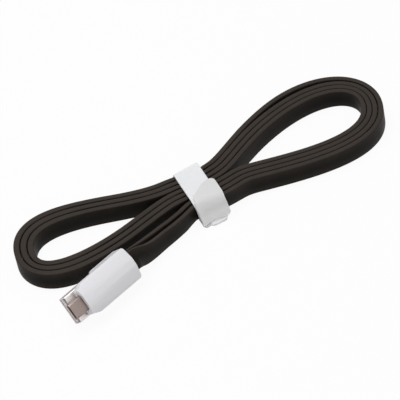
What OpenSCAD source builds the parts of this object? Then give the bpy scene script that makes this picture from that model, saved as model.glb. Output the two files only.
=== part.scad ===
// Flat USB-A to micro-USB charging cable, folded double, wound into a hank and held by a strap.
// The origin is on the floor under the middle of the strap, +X runs along the strands there
// and +Z is up. The flat cable stands on its edge all the way round the hank.

/* [Cable] */
// Width of the flat cable, which is its height where it stands on edge
cable_w = 8.4; // [7.6:0.1:8.8]
// Thickness of the flat cable
cable_t = 1.85; // [1.4:0.05:1.9]
// Width of the bevel along each edge of the cable
cable_bevel = 0.45; // [0.3:0.05:0.6]
// Spacing of the strands inside the strap
waist_pitch = 2.46; // [2.4:0.01:2.6]
// Spacing of the strands at the end of the right loops
right_pitch = 2.35; // [2.32:0.01:2.8]
// How far the outermost right loop lies loose, most of it before the end of the loop
right_slack = 1.2; // [0:0.1:2]
// Spacing of the strands at the end of the left loops
left_pitch = 2.85; // [2.4:0.01:3.1]
// Length of the straight stretch that the strap holds
hold_len = 13; // [12.6:0.1:14]
// Lean of the strands away from upright, outside the strap
hank_lean = 8.5; // [0:0.5:10]
// Heading towards which their tops lean
lean_heading = 152; // [140:1:170]

/* [Strap] */
// Width of the strap along the cable
strap_w = 12.4; // [10:0.1:12.5]
// Thickness of the strap's band
band_t = 0.9; // [0.6:0.05:1.2]
// Clearance between the strap and the strands
strap_gap = 0.1; // [0.1:0.05:0.3]
// Extra room at the front, where the two ends of the cable swing out
lead_room = 0.6; // [0.5:0.05:1]
// Radius of the corners inside the strap
strap_r = 0.9; // [0.5:0.1:1.2]
// Thickness of the free end that lies over the band
tongue_t = 0.9; // [0.6:0.05:1.2]
// Width of the free end
tongue_w = 11.6; // [9:0.1:12]
// Radius of the free end's corners
tongue_r = 5.2; // [2:0.1:5.4]
// How far the free end reaches over the top of the hank
tongue_reach = 12.5; // [9:0.5:15]
// Radius of the fold at the foot of the free end
fold_r = 0.8; // [0.6:0.05:1]
// How far the band's lip lies out on the floor in front of the strap
lip_reach = 3.3; // [2:0.1:4]
// Radius of the lip's corners
lip_r = 1.3; // [0.5:0.1:2]
// Thickness of each half of the hook-and-loop closure
patch_t = 0.25; // [0.2:0.05:0.4]
// Bare margin round the hook-and-loop closure
patch_margin = 0.8; // [0.4:0.1:1.5]

/* [Plug pair] */
// Yaw of both plugs from the +X direction
plug_yaw = 202; // [200:0.5:204]
// Roll of both plugs about their own axis
plug_roll = 43; // [42:0.5:44]
// Wall of both plug housings
wall = 1.1; // [0.9:0.05:1.3]
// Wall of each housing towards the other plug
base_wall = 0.6; // [0.5:0.05:0.7]
// Clearance between pieces that fit together
fit_gap = 0.05; // [0.03:0.01:0.1]
// Length of each magnet bar along the plug
magnet_len = 4; // [3:0.1:4]
// Width of each magnet bar
magnet_w = 8; // [6:0.1:9]
// Thickness of each magnet bar
magnet_t = 0.9; // [0.6:0.05:0.95]
// Length of the crimps on the ends of the cable
crimp_len = 2.8; // [2:0.1:3]
// Thickness of the crimps' metal
crimp_t = 0.35; // [0.25:0.05:0.4]
// Clearance between a crimp and the magnet bar in front of it
crimp_clear = 0.2; // [0.2:0.05:0.5]
// Length of cable inside each housing
cable_entry = 5; // [4.4:0.1:5.2]

/* [Micro-USB plug] */
// Length of the micro-USB housing
micro_len = 28.5; // [26:0.1:31]
// Width of the housing where the cable goes in
micro_rear_w = 14.3; // [13.6:0.1:16]
// Width of the housing in front
micro_front_w = 14.1; // [13:0.1:15]
// Width of the housing's nose
micro_nose_w = 11.2; // [10.6:0.1:12]
// Height of the housing's crown above the plug's middle plane
micro_crown = 3.3; // [3.1:0.1:4]
// Depth of the housing's flat side below the plug's middle plane
micro_base = 2.1; // [2.1:0.05:2.6]
// Width of the micro-USB metal shell
micro_shell_w = 6.85; // [6.75:0.01:6.95]
// Height of the micro-USB metal shell
micro_shell_h = 1.8; // [1.75:0.01:1.9]
// Thickness of the micro-USB shell's sheet
micro_sheet = 0.3; // [0.2:0.01:0.3]
// How far the micro-USB shell stands out of its housing
micro_reach = 6.8; // [6.4:0.1:8.5]
// Length of the micro-USB shell inside its housing
micro_hold = 6.4; // [6:0.1:7]
// Length of the micro-USB contacts behind the shell
micro_tail = 4.4; // [3.5:0.1:5]
// Spacing of the micro-USB contacts
micro_pitch = 0.65; // [0.6:0.01:0.7]
// Travel of the micro-USB latch hooks
latch_travel = 0.3; // [0.2:0.01:0.35]

/* [USB-A plug] */
// Length of the USB-A housing
usb_a_len = 15; // [14.6:0.1:17]
// Width of the USB-A housing
usb_a_w = 13.6; // [13.6:0.1:15]
// Height of the USB-A housing beyond the plug's middle plane
usb_a_crown = 3.4; // [3.3:0.1:4.2]
// Radius of the USB-A housing's long edges
usb_a_edge_r = 1.8; // [1:0.1:1.8]
// Depth of the housing's flat side from the plug's middle plane
usb_a_base = 3.15; // [3.1:0.05:3.4]
// Width of the USB-A metal shell
usb_a_shell_w = 12; // [11.9:0.01:12.1]
// Height of the USB-A metal shell
usb_a_shell_h = 4.5; // [4.4:0.01:4.6]
// Thickness of the USB-A shell's sheet
usb_a_sheet = 0.3; // [0.25:0.01:0.35]
// How far the USB-A shell stands out of its housing
usb_a_reach = 18.75; // [17:0.05:19]
// Height of the USB-A tongue that carries the contacts
usb_a_tongue_h = 1.84; // [1.7:0.01:2]
// Side of the square windows in the USB-A shell
usb_a_window = 2.3; // [2:0.1:2.6]
// Distance of the windows' far edge from the USB-A shell's mouth
usb_a_window_back = 9.4; // [8.5:0.1:10]
// Depth of the USB-A shell's mouth, down to the block
usb_a_mouth_depth = 11.8; // [11.4:0.1:12.5]
// Distance that the USB-A housing's end lies behind the micro-USB housing's
usb_a_behind = 1.25; // [0.5:0.05:2]

/* [Hidden] */

$fn = 48;
tiny = 0.01;

black = [0.13, 0.12, 0.11];
cloth = [0.90, 0.91, 0.93];
white = [0.91, 0.91, 0.92];
steel = [0.72, 0.71, 0.70];
gold = [0.85, 0.68, 0.32];
natural = [0.86, 0.85, 0.80];

// ---- Hank: four loops on the right and three on the left share eight strands in the strap ----
strands = 8;
right_loops = 4;
left_loops = 3;
hold_x = hold_len / 2;
hold_z = band_t + strap_gap;
// The hank's two ends meet the leads here, out of sight inside the strap
lead_x = -2;
// Distance over which the strands come down from the strap to the floor
settle_len = 26;
// Share of a knot's chord that shapes the short bends beside the strap
bend = 0.38;
// Steps along the four stretches of a loop
loop_steps = [2, 10, 10, 2];
// How strongly the steps crowd towards the tip, where the cable turns fastest
crowd = 1.5;

// Knots of the innermost loops: x, y, heading, reach before, reach after
right_knots = [
    [hold_x, waist_pitch / 2, 0, 0, 0],
    [22, 6.8, 32, 0, 49.7],
    [86.5, 12.2, -103, 14.6, 25.8],
    [19.5, 1.6, -171, 8.3, 0],
    [hold_x, -waist_pitch / 2, -180, 0, 0]
];
left_knots = [
    [-hold_x, 1.5 * waist_pitch, 180, 0, 0],
    [-13.6, 3.3, 188, 0, 11.7],
    [-74.1, 1.3, 249, 21.6, 17.8],
    [-19.8, -1, 381, 37.7, 0],
    [-hold_x, 0.5 * waist_pitch, 360, 0, 0]
];

// ---- Leads: x, y, height of the middle and lean away from upright, in mm and degrees ----
micro_route = [
    [-6.2, -9, 5.1, 1], [-9.4, -10.4, 4.9, 3], [-12.4, -11.9, 4.7, 5],
    [-15.6, -13.3, 4.7, 6], [-19.6, -14.9, 4.7, 7], [-23.6, -16.4, 4.8, 9],
    [-28, -18.4, 5.2, 11], [-32.3, -20.5, 6, 14], [-36.2, -22.4, 7.4, 21],
    [-39.3, -23.8, 9, 30]
];
usb_a_route = [
    [-6.2, -6.4, 5.1, 1], [-9.4, -7.4, 4.9, 3], [-12.6, -8.9, 4.6, 6],
    [-15.8, -10.2, 4.4, 8], [-20, -11.8, 4.4, 9], [-24.2, -13.2, 4.4, 11],
    [-28.4, -14.8, 4.4, 14], [-32.3, -16.4, 4.6, 19], [-36.3, -18.2, 5, 27],
    [-39.6, -19.9, 5.7, 37]
];
// The leads' last straight stretch reaches this far behind the housings
lead_straight = 1.6;

// ---- Plugs: both share one axis system, x to the tip, y across, z out of the crowned side ----
plug_pos = [-44.5, -26.2, 10.4];
plug_pitch = micro_base + usb_a_base + fit_gap;

crimp_x = 2.2;
crimp_w = cable_w + 2 * (crimp_t + fit_gap);
crimp_h = cable_t + 2 * (crimp_t + fit_gap);
magnet_x = crimp_x + crimp_len + crimp_clear;
usb_a_magnet_x = magnet_x + usb_a_behind;
wire_d = 0.8;
wire_pitch = (cable_w - 3 * wire_d) / 3;
wire_y = [for (i = [-1.5:1.5]) i * wire_pitch];
cavity_edge = 0.9;

module at_micro() {
    translate(plug_pos) rotate([-plug_roll, 0, plug_yaw]) children();
}

// The USB-A plug lies face to face with the micro-USB plug, so its own z points the other way
module at_usb_a() {
    at_micro() translate([-usb_a_behind, 0, -plug_pitch]) rotate([180, 0, 0]) children();
}

// ---- Curves ----
function along(heading) = [cos(heading), sin(heading)];
function unit(v) = v / norm(v);
function bezier(a, b, c, d, t) =
    pow(1 - t, 3) * a + 3 * pow(1 - t, 2) * t * b + 3 * (1 - t) * t * t * c + pow(t, 3) * d;
function xy(v) = [v.x, v.y];
function ease(t) = (1 - cos(180 * min(max(t, 0), 1))) / 2;

// Steps crowd towards the tip: at the end of the second stretch, at the start of the third
function warp(stretch, s) =
    stretch == 1 ? 1 - pow(1 - s, crowd) : stretch == 2 ? pow(s, crowd) : s;

function stretch_point(a, b, stretch, s) =
    let (chord = norm(xy(b) - xy(a)))
    let (out = a[4] > 0 ? a[4] : bend * chord)
    let (back = b[3] > 0 ? b[3] : bend * chord)
    bezier(xy(a), xy(a) + out * along(a[2]), xy(b) - back * along(b[2]), xy(b), warp(stretch, s));

function loop_line(knots) = concat(
    [for (i = [0:3]) for (s = [0:loop_steps[i] - 1])
        stretch_point(knots[i], knots[i + 1], i, s / loop_steps[i])],
    [xy(knots[4])]
);

function lengths(line, i = 0, sum = 0) =
    i >= len(line) - 1 ? [sum]
    : concat([sum], lengths(line, i + 1, sum + norm(line[i + 1] - line[i])));

// Direction at each point, level with the strands where the strap holds them
function directions(line, first, last) = [
    for (i = [0:len(line) - 1])
        i == 0 ? first
        : i == len(line) - 1 ? last
        : unit(unit(line[i + 1] - line[i]) + unit(line[i] - line[i - 1]))
];
function left_of(d) = [-d.y, d.x];

// Share of the slack at a share of the loop's length
function slack_at(t) = pow(sin(180 * pow(t, 0.65)), 14);

// Loop number k outside the innermost one, spaced waist_pitch at the strap and tip_pitch away
function outer_loop(knots, k, side, tip_pitch, slack = 0) =
    let (line = loop_line(knots))
    let (s = lengths(line))
    let (d = directions(line, along(knots[0][2]), along(knots[4][2])))
    [for (i = [0:len(line) - 1])
        let (t = s[i] / s[len(s) - 1])
        let (out = k * (waist_pitch + (tip_pitch - waist_pitch) * pow(sin(180 * t), 2)))
        line[i] + side * (out + slack * slack_at(t)) * left_of(d[i])];

function reversed(line) = [for (i = [len(line) - 1:-1:0]) line[i]];
function row_y(row) = ((strands - 1) / 2 - row) * waist_pitch;

// Row r goes on as row 7 - r round a right loop and as row 5 - r round a left loop
function right_loop(row) =
    let (mate = 2 * right_loops - 1 - row)
    let (k = right_loops - 1 - min(row, mate))
    let (slack = k == right_loops - 1 ? right_slack : 0)
    let (line = outer_loop(right_knots, k, 1, right_pitch, slack))
    row < mate ? line : reversed(line);
function left_loop(row) =
    let (mate = 2 * left_loops - 1 - row)
    let (line = outer_loop(left_knots, left_loops - 1 - min(row, mate), -1, left_pitch))
    row < mate ? line : reversed(line);

function wind(row, turn = 0) =
    turn == right_loops + left_loops ? [[lead_x, row_y(row)]]
    : turn % 2 == 0
        ? concat(right_loop(row), wind(2 * right_loops - 1 - row, turn + 1))
        : concat(left_loop(row), wind(2 * left_loops - 1 - row, turn + 1));

hank_line = concat([[lead_x, row_y(strands - 1)]], wind(strands - 1));
hank_dirs = directions(hank_line, [1, 0], [-1, 0]);

function settled(x) = ease((abs(x) - hold_x) / settle_len);
function hank_z(x) = hold_z * (1 - settled(x));

// Sideways shift of a strand for each millimetre of its height, square to its own direction
function lean_at(x, n) = tan(hank_lean) * settled(x) * (along(lean_heading) * n) * n;

// ---- Flat cable swept along rings ----
// Outline across the cable: thickness, width
cable_section = [
    [-cable_t / 2 + cable_bevel, -cable_w / 2], [cable_t / 2 - cable_bevel, -cable_w / 2],
    [cable_t / 2, -cable_w / 2 + cable_bevel], [cable_t / 2, cable_w / 2 - cable_bevel],
    [cable_t / 2 - cable_bevel, cable_w / 2], [-cable_t / 2 + cable_bevel, cable_w / 2],
    [-cable_t / 2, cable_w / 2 - cable_bevel], [-cable_t / 2, -cable_w / 2 + cable_bevel]
];
sides = len(cable_section);

// A ring is its middle, its thickness direction and its width direction
module sweep(rings) {
    last = len(rings) - 1;
    points = [for (r = rings) for (p = cable_section) r[0] + p.x * r[1] + p.y * r[2]];
    skin = [
        for (i = [0:last - 1]) for (j = [0:sides - 1])
            let (a = i * sides + j, b = i * sides + (j + 1) % sides)
            for (f = [[a, b, b + sides], [a, b + sides, a + sides]]) f
    ];
    start_cap = [for (j = [1:sides - 2]) [0, j + 1, j]];
    end_cap = [for (j = [1:sides - 2]) [last * sides, last * sides + j, last * sides + j + 1]];
    polyhedron(points = points, faces = concat(skin, start_cap, end_cap));
}

hank_rings = [
    for (i = [0:len(hank_line) - 1])
        let (p = hank_line[i], n = left_of(hank_dirs[i]), lean = lean_at(p.x, n))
        let (half = cable_w / 2 * lean)
        [[p.x + half.x, p.y + half.y, hank_z(p.x) + cable_w / 2], [-n.x, -n.y, 0],
            [lean.x, lean.y, 1]]
];

// ---- Least gap of the hank to itself at its foot and its top, from points to stretches ----
hank_run = lengths(hank_line);
function to_stretch(p, a, b) =
    let (t = min(max((p - a) * (b - a) / ((b - a) * (b - a)), 0), 1))
    norm(p - a - t * (b - a));
function edge(side, height) = [
    for (i = [0:len(hank_line) - 1])
        let (n = left_of(hank_dirs[i]))
        hank_line[i] + side * cable_t / 2 * n + height * lean_at(hank_line[i].x, n)
];
function gap_at(height) =
    let (edges = [edge(1, height), edge(-1, height)])
    let (last = len(hank_line) - 1)
    min([for (e = edges) for (f = edges) for (i = [0:last]) for (j = [0:last - 1])
        if (abs(hank_run[i] - hank_run[j]) > 3 * cable_w
            && abs(hank_run[i] - hank_run[j + 1]) > 3 * cable_w)
            to_stretch(e[i], f[j], f[j + 1])]);
function hank_gap() = min(gap_at(0), gap_at(cable_w));

module cable_hank() {
    echo(least_gap_of_the_hank_to_itself = hank_gap(), wound_length = hank_run[len(hank_run) - 1]);
    color(black) sweep(hank_rings);
}

// ---- Leads from the strap to the plugs ----
plug_x = [cos(plug_yaw), sin(plug_yaw), 0];
plug_side = [-sin(plug_yaw), cos(plug_yaw), 0];
plug_out = sin(plug_roll) * plug_side + [0, 0, cos(plug_roll)];

function lead_ring(p, d, lean) =
    let (side = unit([-d.y, d.x, 0]))
    let (up = unit(cross(d, side)))
    let (w = cos(lean) * up - sin(lean) * side)
    [p, cross(d, w), w];

// route is the free part, home the point where the cable comes in at its plug's end
module lead(row, route, home) {
    inside = home + cable_entry * plug_x;
    behind = home - lead_straight * plug_x;
    start = [lead_x, row_y(row), hold_z + cable_w / 2, 0];
    held = [lead_x - 2, row_y(row), hold_z + cable_w / 2, 0];
    home_lean = 90 - plug_roll;
    line = concat(
        [start, held], route,
        [for (p = [behind, home, inside]) [p.x, p.y, p.z, home_lean]]
    );
    last = len(line) - 1;
    middle = [for (p = line) [p.x, p.y, p.z]];
    rings = [
        for (i = [0:last])
            let (d = i <= 1 ? [-1, 0, 0] : i >= last - 2 ? plug_x
                : unit(unit(middle[i + 1] - middle[i]) + unit(middle[i] - middle[i - 1])))
            lead_ring(middle[i], d, line[i][3])
    ];
    color(black) sweep(rings);
}

module micro_lead() {
    lead(strands - 1, micro_route, plug_pos);
}

module usb_a_lead() {
    lead(strands - 2, usb_a_route, plug_pos - usb_a_behind * plug_x - plug_pitch * plug_out);
}

// ---- Strap ----
strap_in_front = -row_y(0) - cable_t / 2 - strap_gap - lead_room;
strap_in_back = row_y(0) + cable_t / 2 + strap_gap;
strap_in_top = hold_z + cable_w + strap_gap;

module round_rect(low, high, r) {
    translate([low.x + r, low.y]) square([high.x - low.x - 2 * r, high.y - low.y]);
    translate([low.x, low.y + r]) square([high.x - low.x, high.y - low.y - 2 * r]);
    for (x = [low.x + r, high.x - r], y = [low.y + r, high.y - r]) translate([x, y]) circle(r);
}

// Area inside the strap, grown outward all round
module strap_area(grow) {
    round_rect(
        [strap_in_front - grow, band_t - grow], [strap_in_back + grow, strap_in_top + grow],
        strap_r + grow
    );
}

// A layer of the strap lies between two growths of its inside
module layer(from, to) {
    difference() {
        strap_area(to);
        strap_area(from);
    }
}

// Turns a drawing across the cable, y and z, into a solid along it
module along_cable(width) {
    translate([-width / 2, 0, 0]) rotate([90, 0, 90]) linear_extrude(width) children();
}

loop_from = band_t + fit_gap;
hook_from = loop_from + patch_t + fit_gap;
tongue_from = hook_from + patch_t + fit_gap;
tongue_to = tongue_from + tongue_t;
tongue_foot_z = band_t + fit_gap + fold_r;
tongue_tip_y = strap_in_front - tongue_from + tongue_reach;
fold_y = strap_in_front - band_t - fit_gap - fold_r;
above_all = 40;

// Front and top of a layer, from a height up to a tip
module front_layer(from, to, foot_z, tip_y) {
    intersection() {
        layer(from, to);
        translate([tip_y - above_all, foot_z]) square([above_all, above_all]);
    }
}

// Plan of the free end, with its rounded tip
module tongue_plan(width, tip_y, corner_r) {
    r = min(corner_r, width / 2 - tiny);
    translate([-width / 2, tip_y - above_all]) square([width, above_all - r]);
    translate([-width / 2 + r, tip_y - above_all]) square([width - 2 * r, above_all]);
    for (x = [-width / 2 + r, width / 2 - r]) translate([x, tip_y - r]) circle(r);
}

// Plan of the band's end, which lies flat on the floor and carries the fold
module lip_plan() {
    front = strap_in_front - band_t - lip_reach;
    half = tongue_w / 2;
    translate([-half, front + lip_r]) square([tongue_w, lip_reach + band_t + strap_r - lip_r]);
    translate([-half + lip_r, front]) square([tongue_w - 2 * lip_r, lip_reach]);
    for (x = [-half + lip_r, half - lip_r]) translate([x, front + lip_r]) circle(lip_r);
}

module strap_band() {
    color(cloth) {
        along_cable(strap_w) layer(0, band_t);
        linear_extrude(band_t) lip_plan();
    }
}

module strap_tongue() {
    color(cloth) {
        intersection() {
            along_cable(tongue_w) front_layer(tongue_from, tongue_to, tongue_foot_z, tongue_tip_y);
            linear_extrude(above_all) tongue_plan(tongue_w, tongue_tip_y, tongue_r);
        }
        along_cable(tongue_w) translate([fold_y, tongue_foot_z]) circle(fold_r);
    }
}

module closure_patch(from) {
    patch_w = tongue_w - 2 * patch_margin;
    patch_tip = tongue_tip_y - patch_margin;
    patch_foot = tongue_foot_z + fold_r + patch_margin;
    intersection() {
        along_cable(patch_w) front_layer(from, from + patch_t, patch_foot, patch_tip);
        linear_extrude(above_all) tongue_plan(patch_w, patch_tip, tongue_r - patch_margin);
    }
}

module strap_loop_patch() {
    color(cloth) closure_patch(loop_from);
}

module strap_hook_patch() {
    color(cloth) closure_patch(hook_from);
}

// ---- Housings: a plan, a side view and a section across meet in one moulding ----
crown_steps = 12;
shoulder_steps = 8;
corner_steps = 4;

// Half plan of a housing from the rear corner, along the side and round the shoulder
function plan_side(length, rear_w, front_w, nose_w, shoulder, corner) = concat(
    [for (i = [0:corner_steps]) let (a = 90 * i / corner_steps)
        [corner * (1 - cos(a)), rear_w / 2 - corner * (1 - sin(a))]],
    [for (i = [0:shoulder_steps]) let (t = i / shoulder_steps)
        [length - shoulder * (1 - t), front_w / 2 + (nose_w - front_w) / 2 * ease(t)]]
);

module housing_plan(length, rear_w, front_w, nose_w, shoulder, corner) {
    half = plan_side(length, rear_w, front_w, nose_w, shoulder, corner);
    polygon(concat(half, [for (i = [len(half) - 1:-1:0]) [half[i].x, -half[i].y]]));
}

// Section of the micro-USB crown: a low side wall, then two facets up to a soft ridge
ridge_power = 1.2;
function crown_line(width, edge_h, crown) = [
    for (i = [0:crown_steps]) let (t = 2 * i / crown_steps - 1)
        [t * width / 2, edge_h + (crown - edge_h) * (1 - pow(abs(t), ridge_power))]
];

module crown_section(width, edge_h, crown) {
    polygon(concat([[width / 2, 0], [-width / 2, 0]], crown_line(width, edge_h, crown)));
}

module flat_section(width, depth, bevel) {
    polygon([
        [-width / 2, 0], [-width / 2, -depth + bevel], [-width / 2 + bevel, -depth],
        [width / 2 - bevel, -depth], [width / 2, -depth + bevel], [width / 2, 0]
    ]);
}

// Side view of the crowned half, which sinks a little towards the nose and the rear
module crown_side(length, crown, nose_h, rear_h) {
    polygon(concat(
        [[0, 0]],
        [for (i = [0:corner_steps]) let (t = i / corner_steps)
            [4 * t, rear_h + (crown - rear_h) * sin(90 * t)]],
        [for (i = [0:shoulder_steps]) let (t = i / shoulder_steps)
            [length - 7 * (1 - t), crown + (nose_h - crown) * ease(t)]],
        [[length, 0]]
    ));
}

module micro_plan() {
    housing_plan(micro_len, micro_rear_w, micro_front_w, micro_nose_w, 4.5, 1);
}

module usb_a_plan() {
    housing_plan(usb_a_len, usb_a_w, usb_a_w, usb_a_w - 0.6, 1.2, 1);
}

// Section of the USB-A housing's far half, boxed close round its shell
module usb_a_section() {
    intersection() {
        round_rect(
            [-usb_a_w / 2, -usb_a_crown], [usb_a_w / 2, usb_a_crown], usb_a_edge_r
        );
        translate([-usb_a_w, 0]) square([2 * usb_a_w, 2 * usb_a_crown]);
    }
}

// Turns a section drawn across the plug, y and z, into a solid along it
module along_plug(length, x = 0) {
    translate([x, 0, 0]) rotate([90, 0, 90]) linear_extrude(length) children();
}

// The first child is the section across, the second the plan
module crowned_half(length, width, crown, nose_h, rear_h) {
    intersection() {
        along_plug(length) children(0);
        rotate([90, 0, 0]) linear_extrude(2 * width, center = true)
            crown_side(length, crown, nose_h, rear_h);
        linear_extrude(2 * crown) children(1);
    }
}

module flat_half(length, width, depth) {
    intersection() {
        along_plug(length) flat_section(width, depth, 0.5);
        translate([0, 0, -2 * depth]) linear_extrude(2 * depth) children();
    }
}

// Room inside a crowned half
module crowned_room(length, width, crown) {
    along_plug(length - 2 * wall, wall)
        crown_section(width - 2 * wall, cavity_edge - 0.35, crown - wall);
}

// Room inside a flat half
module flat_room(length, width, depth) {
    translate([wall, -width / 2 + wall, -depth + base_wall])
        cube([length - 2 * wall, width - 2 * wall, depth]);
}

// Room for the crimp and the magnet bar, between two heights
module rear_room(from, to) {
    rear_w = crimp_w + 2 * fit_gap;
    translate([wall, -rear_w / 2, from])
        cube([magnet_x + magnet_len + fit_gap - wall, rear_w, to - from]);
}

// Slot in the rear wall for the flat cable
module cable_slot() {
    slot_w = cable_w + 2 * fit_gap;
    slot_t = cable_t + 2 * fit_gap;
    translate([-wall, -slot_w / 2, -slot_t / 2]) cube([3 * wall, slot_w, slot_t]);
}

// The front room keeps clear of the shoulders
micro_room_w = micro_nose_w - 1.4 + 2 * wall;
micro_tip = micro_len + micro_reach;
usb_a_tip = usb_a_len + usb_a_reach;

// ---- Micro-USB metal parts ----
micro_shell_root = micro_len - micro_hold;
micro_in_h = micro_shell_h - 2 * micro_sheet;
micro_in_w = micro_shell_w - 2 * micro_sheet;

// The shell's two outward corners are cut off
module micro_profile(grow) {
    w = micro_shell_w / 2 + grow;
    h = micro_shell_h / 2 + grow;
    cut = 0.7;
    polygon([[-w, -h], [w, -h], [w, h - cut], [w - cut, h], [-w + cut, h], [-w, h - cut]]);
}

module micro_mouth() {
    along_plug(3 * wall, micro_len - 2 * wall) micro_profile(fit_gap);
}

module micro_housing_outer() {
    color(white) at_micro() difference() {
        crowned_half(micro_len, micro_rear_w, micro_crown, 2.5, 2.9) {
            crown_section(micro_rear_w, cavity_edge, micro_crown);
            micro_plan();
        }
        crowned_room(micro_len, micro_room_w, micro_crown);
        rear_room(-tiny, crimp_h / 2 + fit_gap);
        cable_slot();
        micro_mouth();
    }
}

module micro_housing_inner() {
    color(white) at_micro() difference() {
        flat_half(micro_len, micro_rear_w, micro_base) micro_plan();
        flat_room(micro_len, micro_room_w, micro_base);
        rear_room(base_wall - micro_base, tiny);
        cable_slot();
        micro_mouth();
    }
}

latch_y = 2.3;
latch_w = 0.8;
latch_t = 0.22;
latch_rod_d = 0.28;
latch_z = -micro_in_h / 2 + fit_gap;
latch_root_x = micro_shell_root + 1.4;
latch_pivot_x = latch_root_x + 0.5;
latch_hook_x = micro_tip - 2.4;
latch_hook_len = 1;
latch_hook_h = 0.55;

module micro_metal_shell() {
    color(steel) at_micro() difference() {
        along_plug(micro_tip - micro_shell_root, micro_shell_root) difference() {
            micro_profile(0);
            micro_profile(-micro_sheet);
        }
        for (side = [-1, 1])
            translate([latch_hook_x - 0.5, side * latch_y - latch_w / 2 - 0.15, -micro_shell_h])
                cube([latch_hook_len + 0.8, latch_w + 0.3, micro_shell_h]);
    }
}

module micro_latch_spring() {
    color(steel) at_micro() {
        for (side = [-1, 1]) translate([0, side * latch_y - latch_w / 2, 0]) {
            translate([latch_root_x, 0, latch_z])
                cube([latch_hook_x + latch_hook_len - latch_root_x, latch_w, latch_t]);
            translate([latch_hook_x, latch_w, latch_z + tiny]) rotate([90, 0, 0])
                linear_extrude(latch_w)
                    polygon([[0, 0], [0.15, -latch_hook_h], [latch_hook_len, 0]]);
        }
        translate([latch_root_x, -latch_y, latch_z]) cube([1, 2 * latch_y, latch_t]);
        translate([latch_pivot_x, latch_y, latch_z + latch_t / 2]) rotate([90, 0, 0])
            cylinder(d = latch_rod_d, h = 2 * latch_y);
    }
}

micro_contact_w = 0.34;
micro_contact_t = 0.2;
micro_contact_z = latch_z + latch_t + latch_travel + fit_gap;
micro_tail_x = micro_shell_root - micro_tail;
micro_tail_pitch = 2 * micro_pitch;
micro_lip_z = micro_contact_z + micro_contact_t + fit_gap;
micro_lip_top = micro_in_h / 2 - fit_gap;

// A contact runs straight at its pitch in the shell and fans out behind it to its wire
module micro_contact(number) {
    y1 = (number - 3) * micro_pitch;
    y2 = (number - 3) * micro_tail_pitch;
    line = [
        [micro_tail_x, y2], [micro_shell_root - 1.8, y2],
        [micro_shell_root - 0.3, y1], [micro_tip - 1, y1]
    ];
    half = micro_contact_w / 2;
    color(gold) at_micro() translate([0, 0, micro_contact_z]) linear_extrude(micro_contact_t)
        polygon(concat(
            [for (p = line) [p.x, p.y - half]],
            [for (i = [3:-1:0]) [line[i].x, line[i].y + half]]
        ));
}

module micro_contact_1() { micro_contact(1); }
module micro_contact_2() { micro_contact(2); }
module micro_contact_3() { micro_contact(3); }
module micro_contact_4() { micro_contact(4); }
module micro_contact_5() { micro_contact(5); }

// The insulator's lip lies over the contacts, and a block behind it holds them at their pitch
module micro_insulator() {
    lip_w = 2 * (micro_shell_w / 2 - micro_sheet - 0.75);
    block_w = 5 * micro_pitch + 0.5;
    block_len = 3.2;
    block_x = latch_root_x + 1 + 0.3;
    color(black) at_micro() difference() {
        union() {
            translate([micro_shell_root + 0.2, -lip_w / 2, micro_lip_z])
                cube([micro_tip - 0.6 - micro_shell_root - 0.2, lip_w, micro_lip_top - micro_lip_z]);
            translate([block_x, -block_w / 2, latch_z])
                cube([block_len, block_w, micro_lip_top - latch_z]);
        }
        for (i = [-2:2])
            translate([block_x - 1, i * micro_pitch - micro_contact_w / 2 - fit_gap,
                    micro_contact_z - fit_gap])
                cube([block_len + 2, micro_contact_w + 2 * fit_gap,
                    micro_contact_t + 2 * fit_gap]);
    }
}

module micro_inner_mould() {
    length = micro_len - wall - micro_shell_root - 2 * fit_gap;
    room = micro_room_w - 2 * wall - 2 * fit_gap;
    depth = micro_base - base_wall - fit_gap;
    height = cavity_edge - 0.35;
    color(natural) at_micro() difference() {
        translate([micro_shell_root + fit_gap, -room / 2, -depth])
            cube([length, room, depth + height - fit_gap]);
        along_plug(length + 2, micro_shell_root - 1) micro_profile(fit_gap);
    }
}

// ---- Pieces that both plugs have ----
module crimp() {
    translate([crimp_x, 0, 0]) difference() {
        translate([0, -crimp_w / 2, -crimp_h / 2]) cube([crimp_len, crimp_w, crimp_h]);
        translate([-1, -cable_w / 2 - fit_gap, -cable_t / 2 - fit_gap])
            cube([crimp_len + 2, cable_w + 2 * fit_gap, cable_t + 2 * fit_gap]);
    }
}

module magnet(x, depth) {
    translate([x, -magnet_w / 2, -depth + base_wall + fit_gap])
        cube([magnet_len, magnet_w, magnet_t]);
}

// A wire runs straight from the end of the cable to the tail of its contact
module wire(from, to) {
    run = to - from;
    reach = norm(run);
    translate(from) rotate([0, acos(run.z / reach), atan2(run.y, run.x)])
        cylinder(d = wire_d, h = reach);
}

module micro_wire(place, contact) {
    tail = [
        micro_tail_x + 1.6, (contact - 3) * micro_tail_pitch,
        micro_contact_z + micro_contact_t + wire_d / 2 + 2 * fit_gap
    ];
    at_micro() wire([cable_entry + 2 * fit_gap, wire_y[place], 0], tail);
}

module micro_wire_power() { color("red") micro_wire(0, 1); }
module micro_wire_data_minus() { color(white) micro_wire(1, 2); }
module micro_wire_data_plus() { color("green") micro_wire(2, 3); }
module micro_wire_ground() { color("dimgray") micro_wire(3, 5); }
module micro_cable_crimp() { color(steel) at_micro() crimp(); }
module micro_magnet() { color(steel) at_micro() magnet(magnet_x, micro_base); }

// ---- USB-A plug ----
usb_a_shell_root = usb_a_magnet_x + magnet_len + 0.15;
usb_a_in_h = usb_a_shell_h - 2 * usb_a_sheet;
usb_a_in_w = usb_a_shell_w - 2 * usb_a_sheet;
usb_a_tongue_z = usb_a_in_h / 2 - usb_a_tongue_h - fit_gap;
usb_a_contact_y = [-3.5, -1, 1, 3.5];
usb_a_contact_w = 1;
usb_a_contact_t = 0.25;
usb_a_tail_x = usb_a_shell_root - 2.2;

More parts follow.
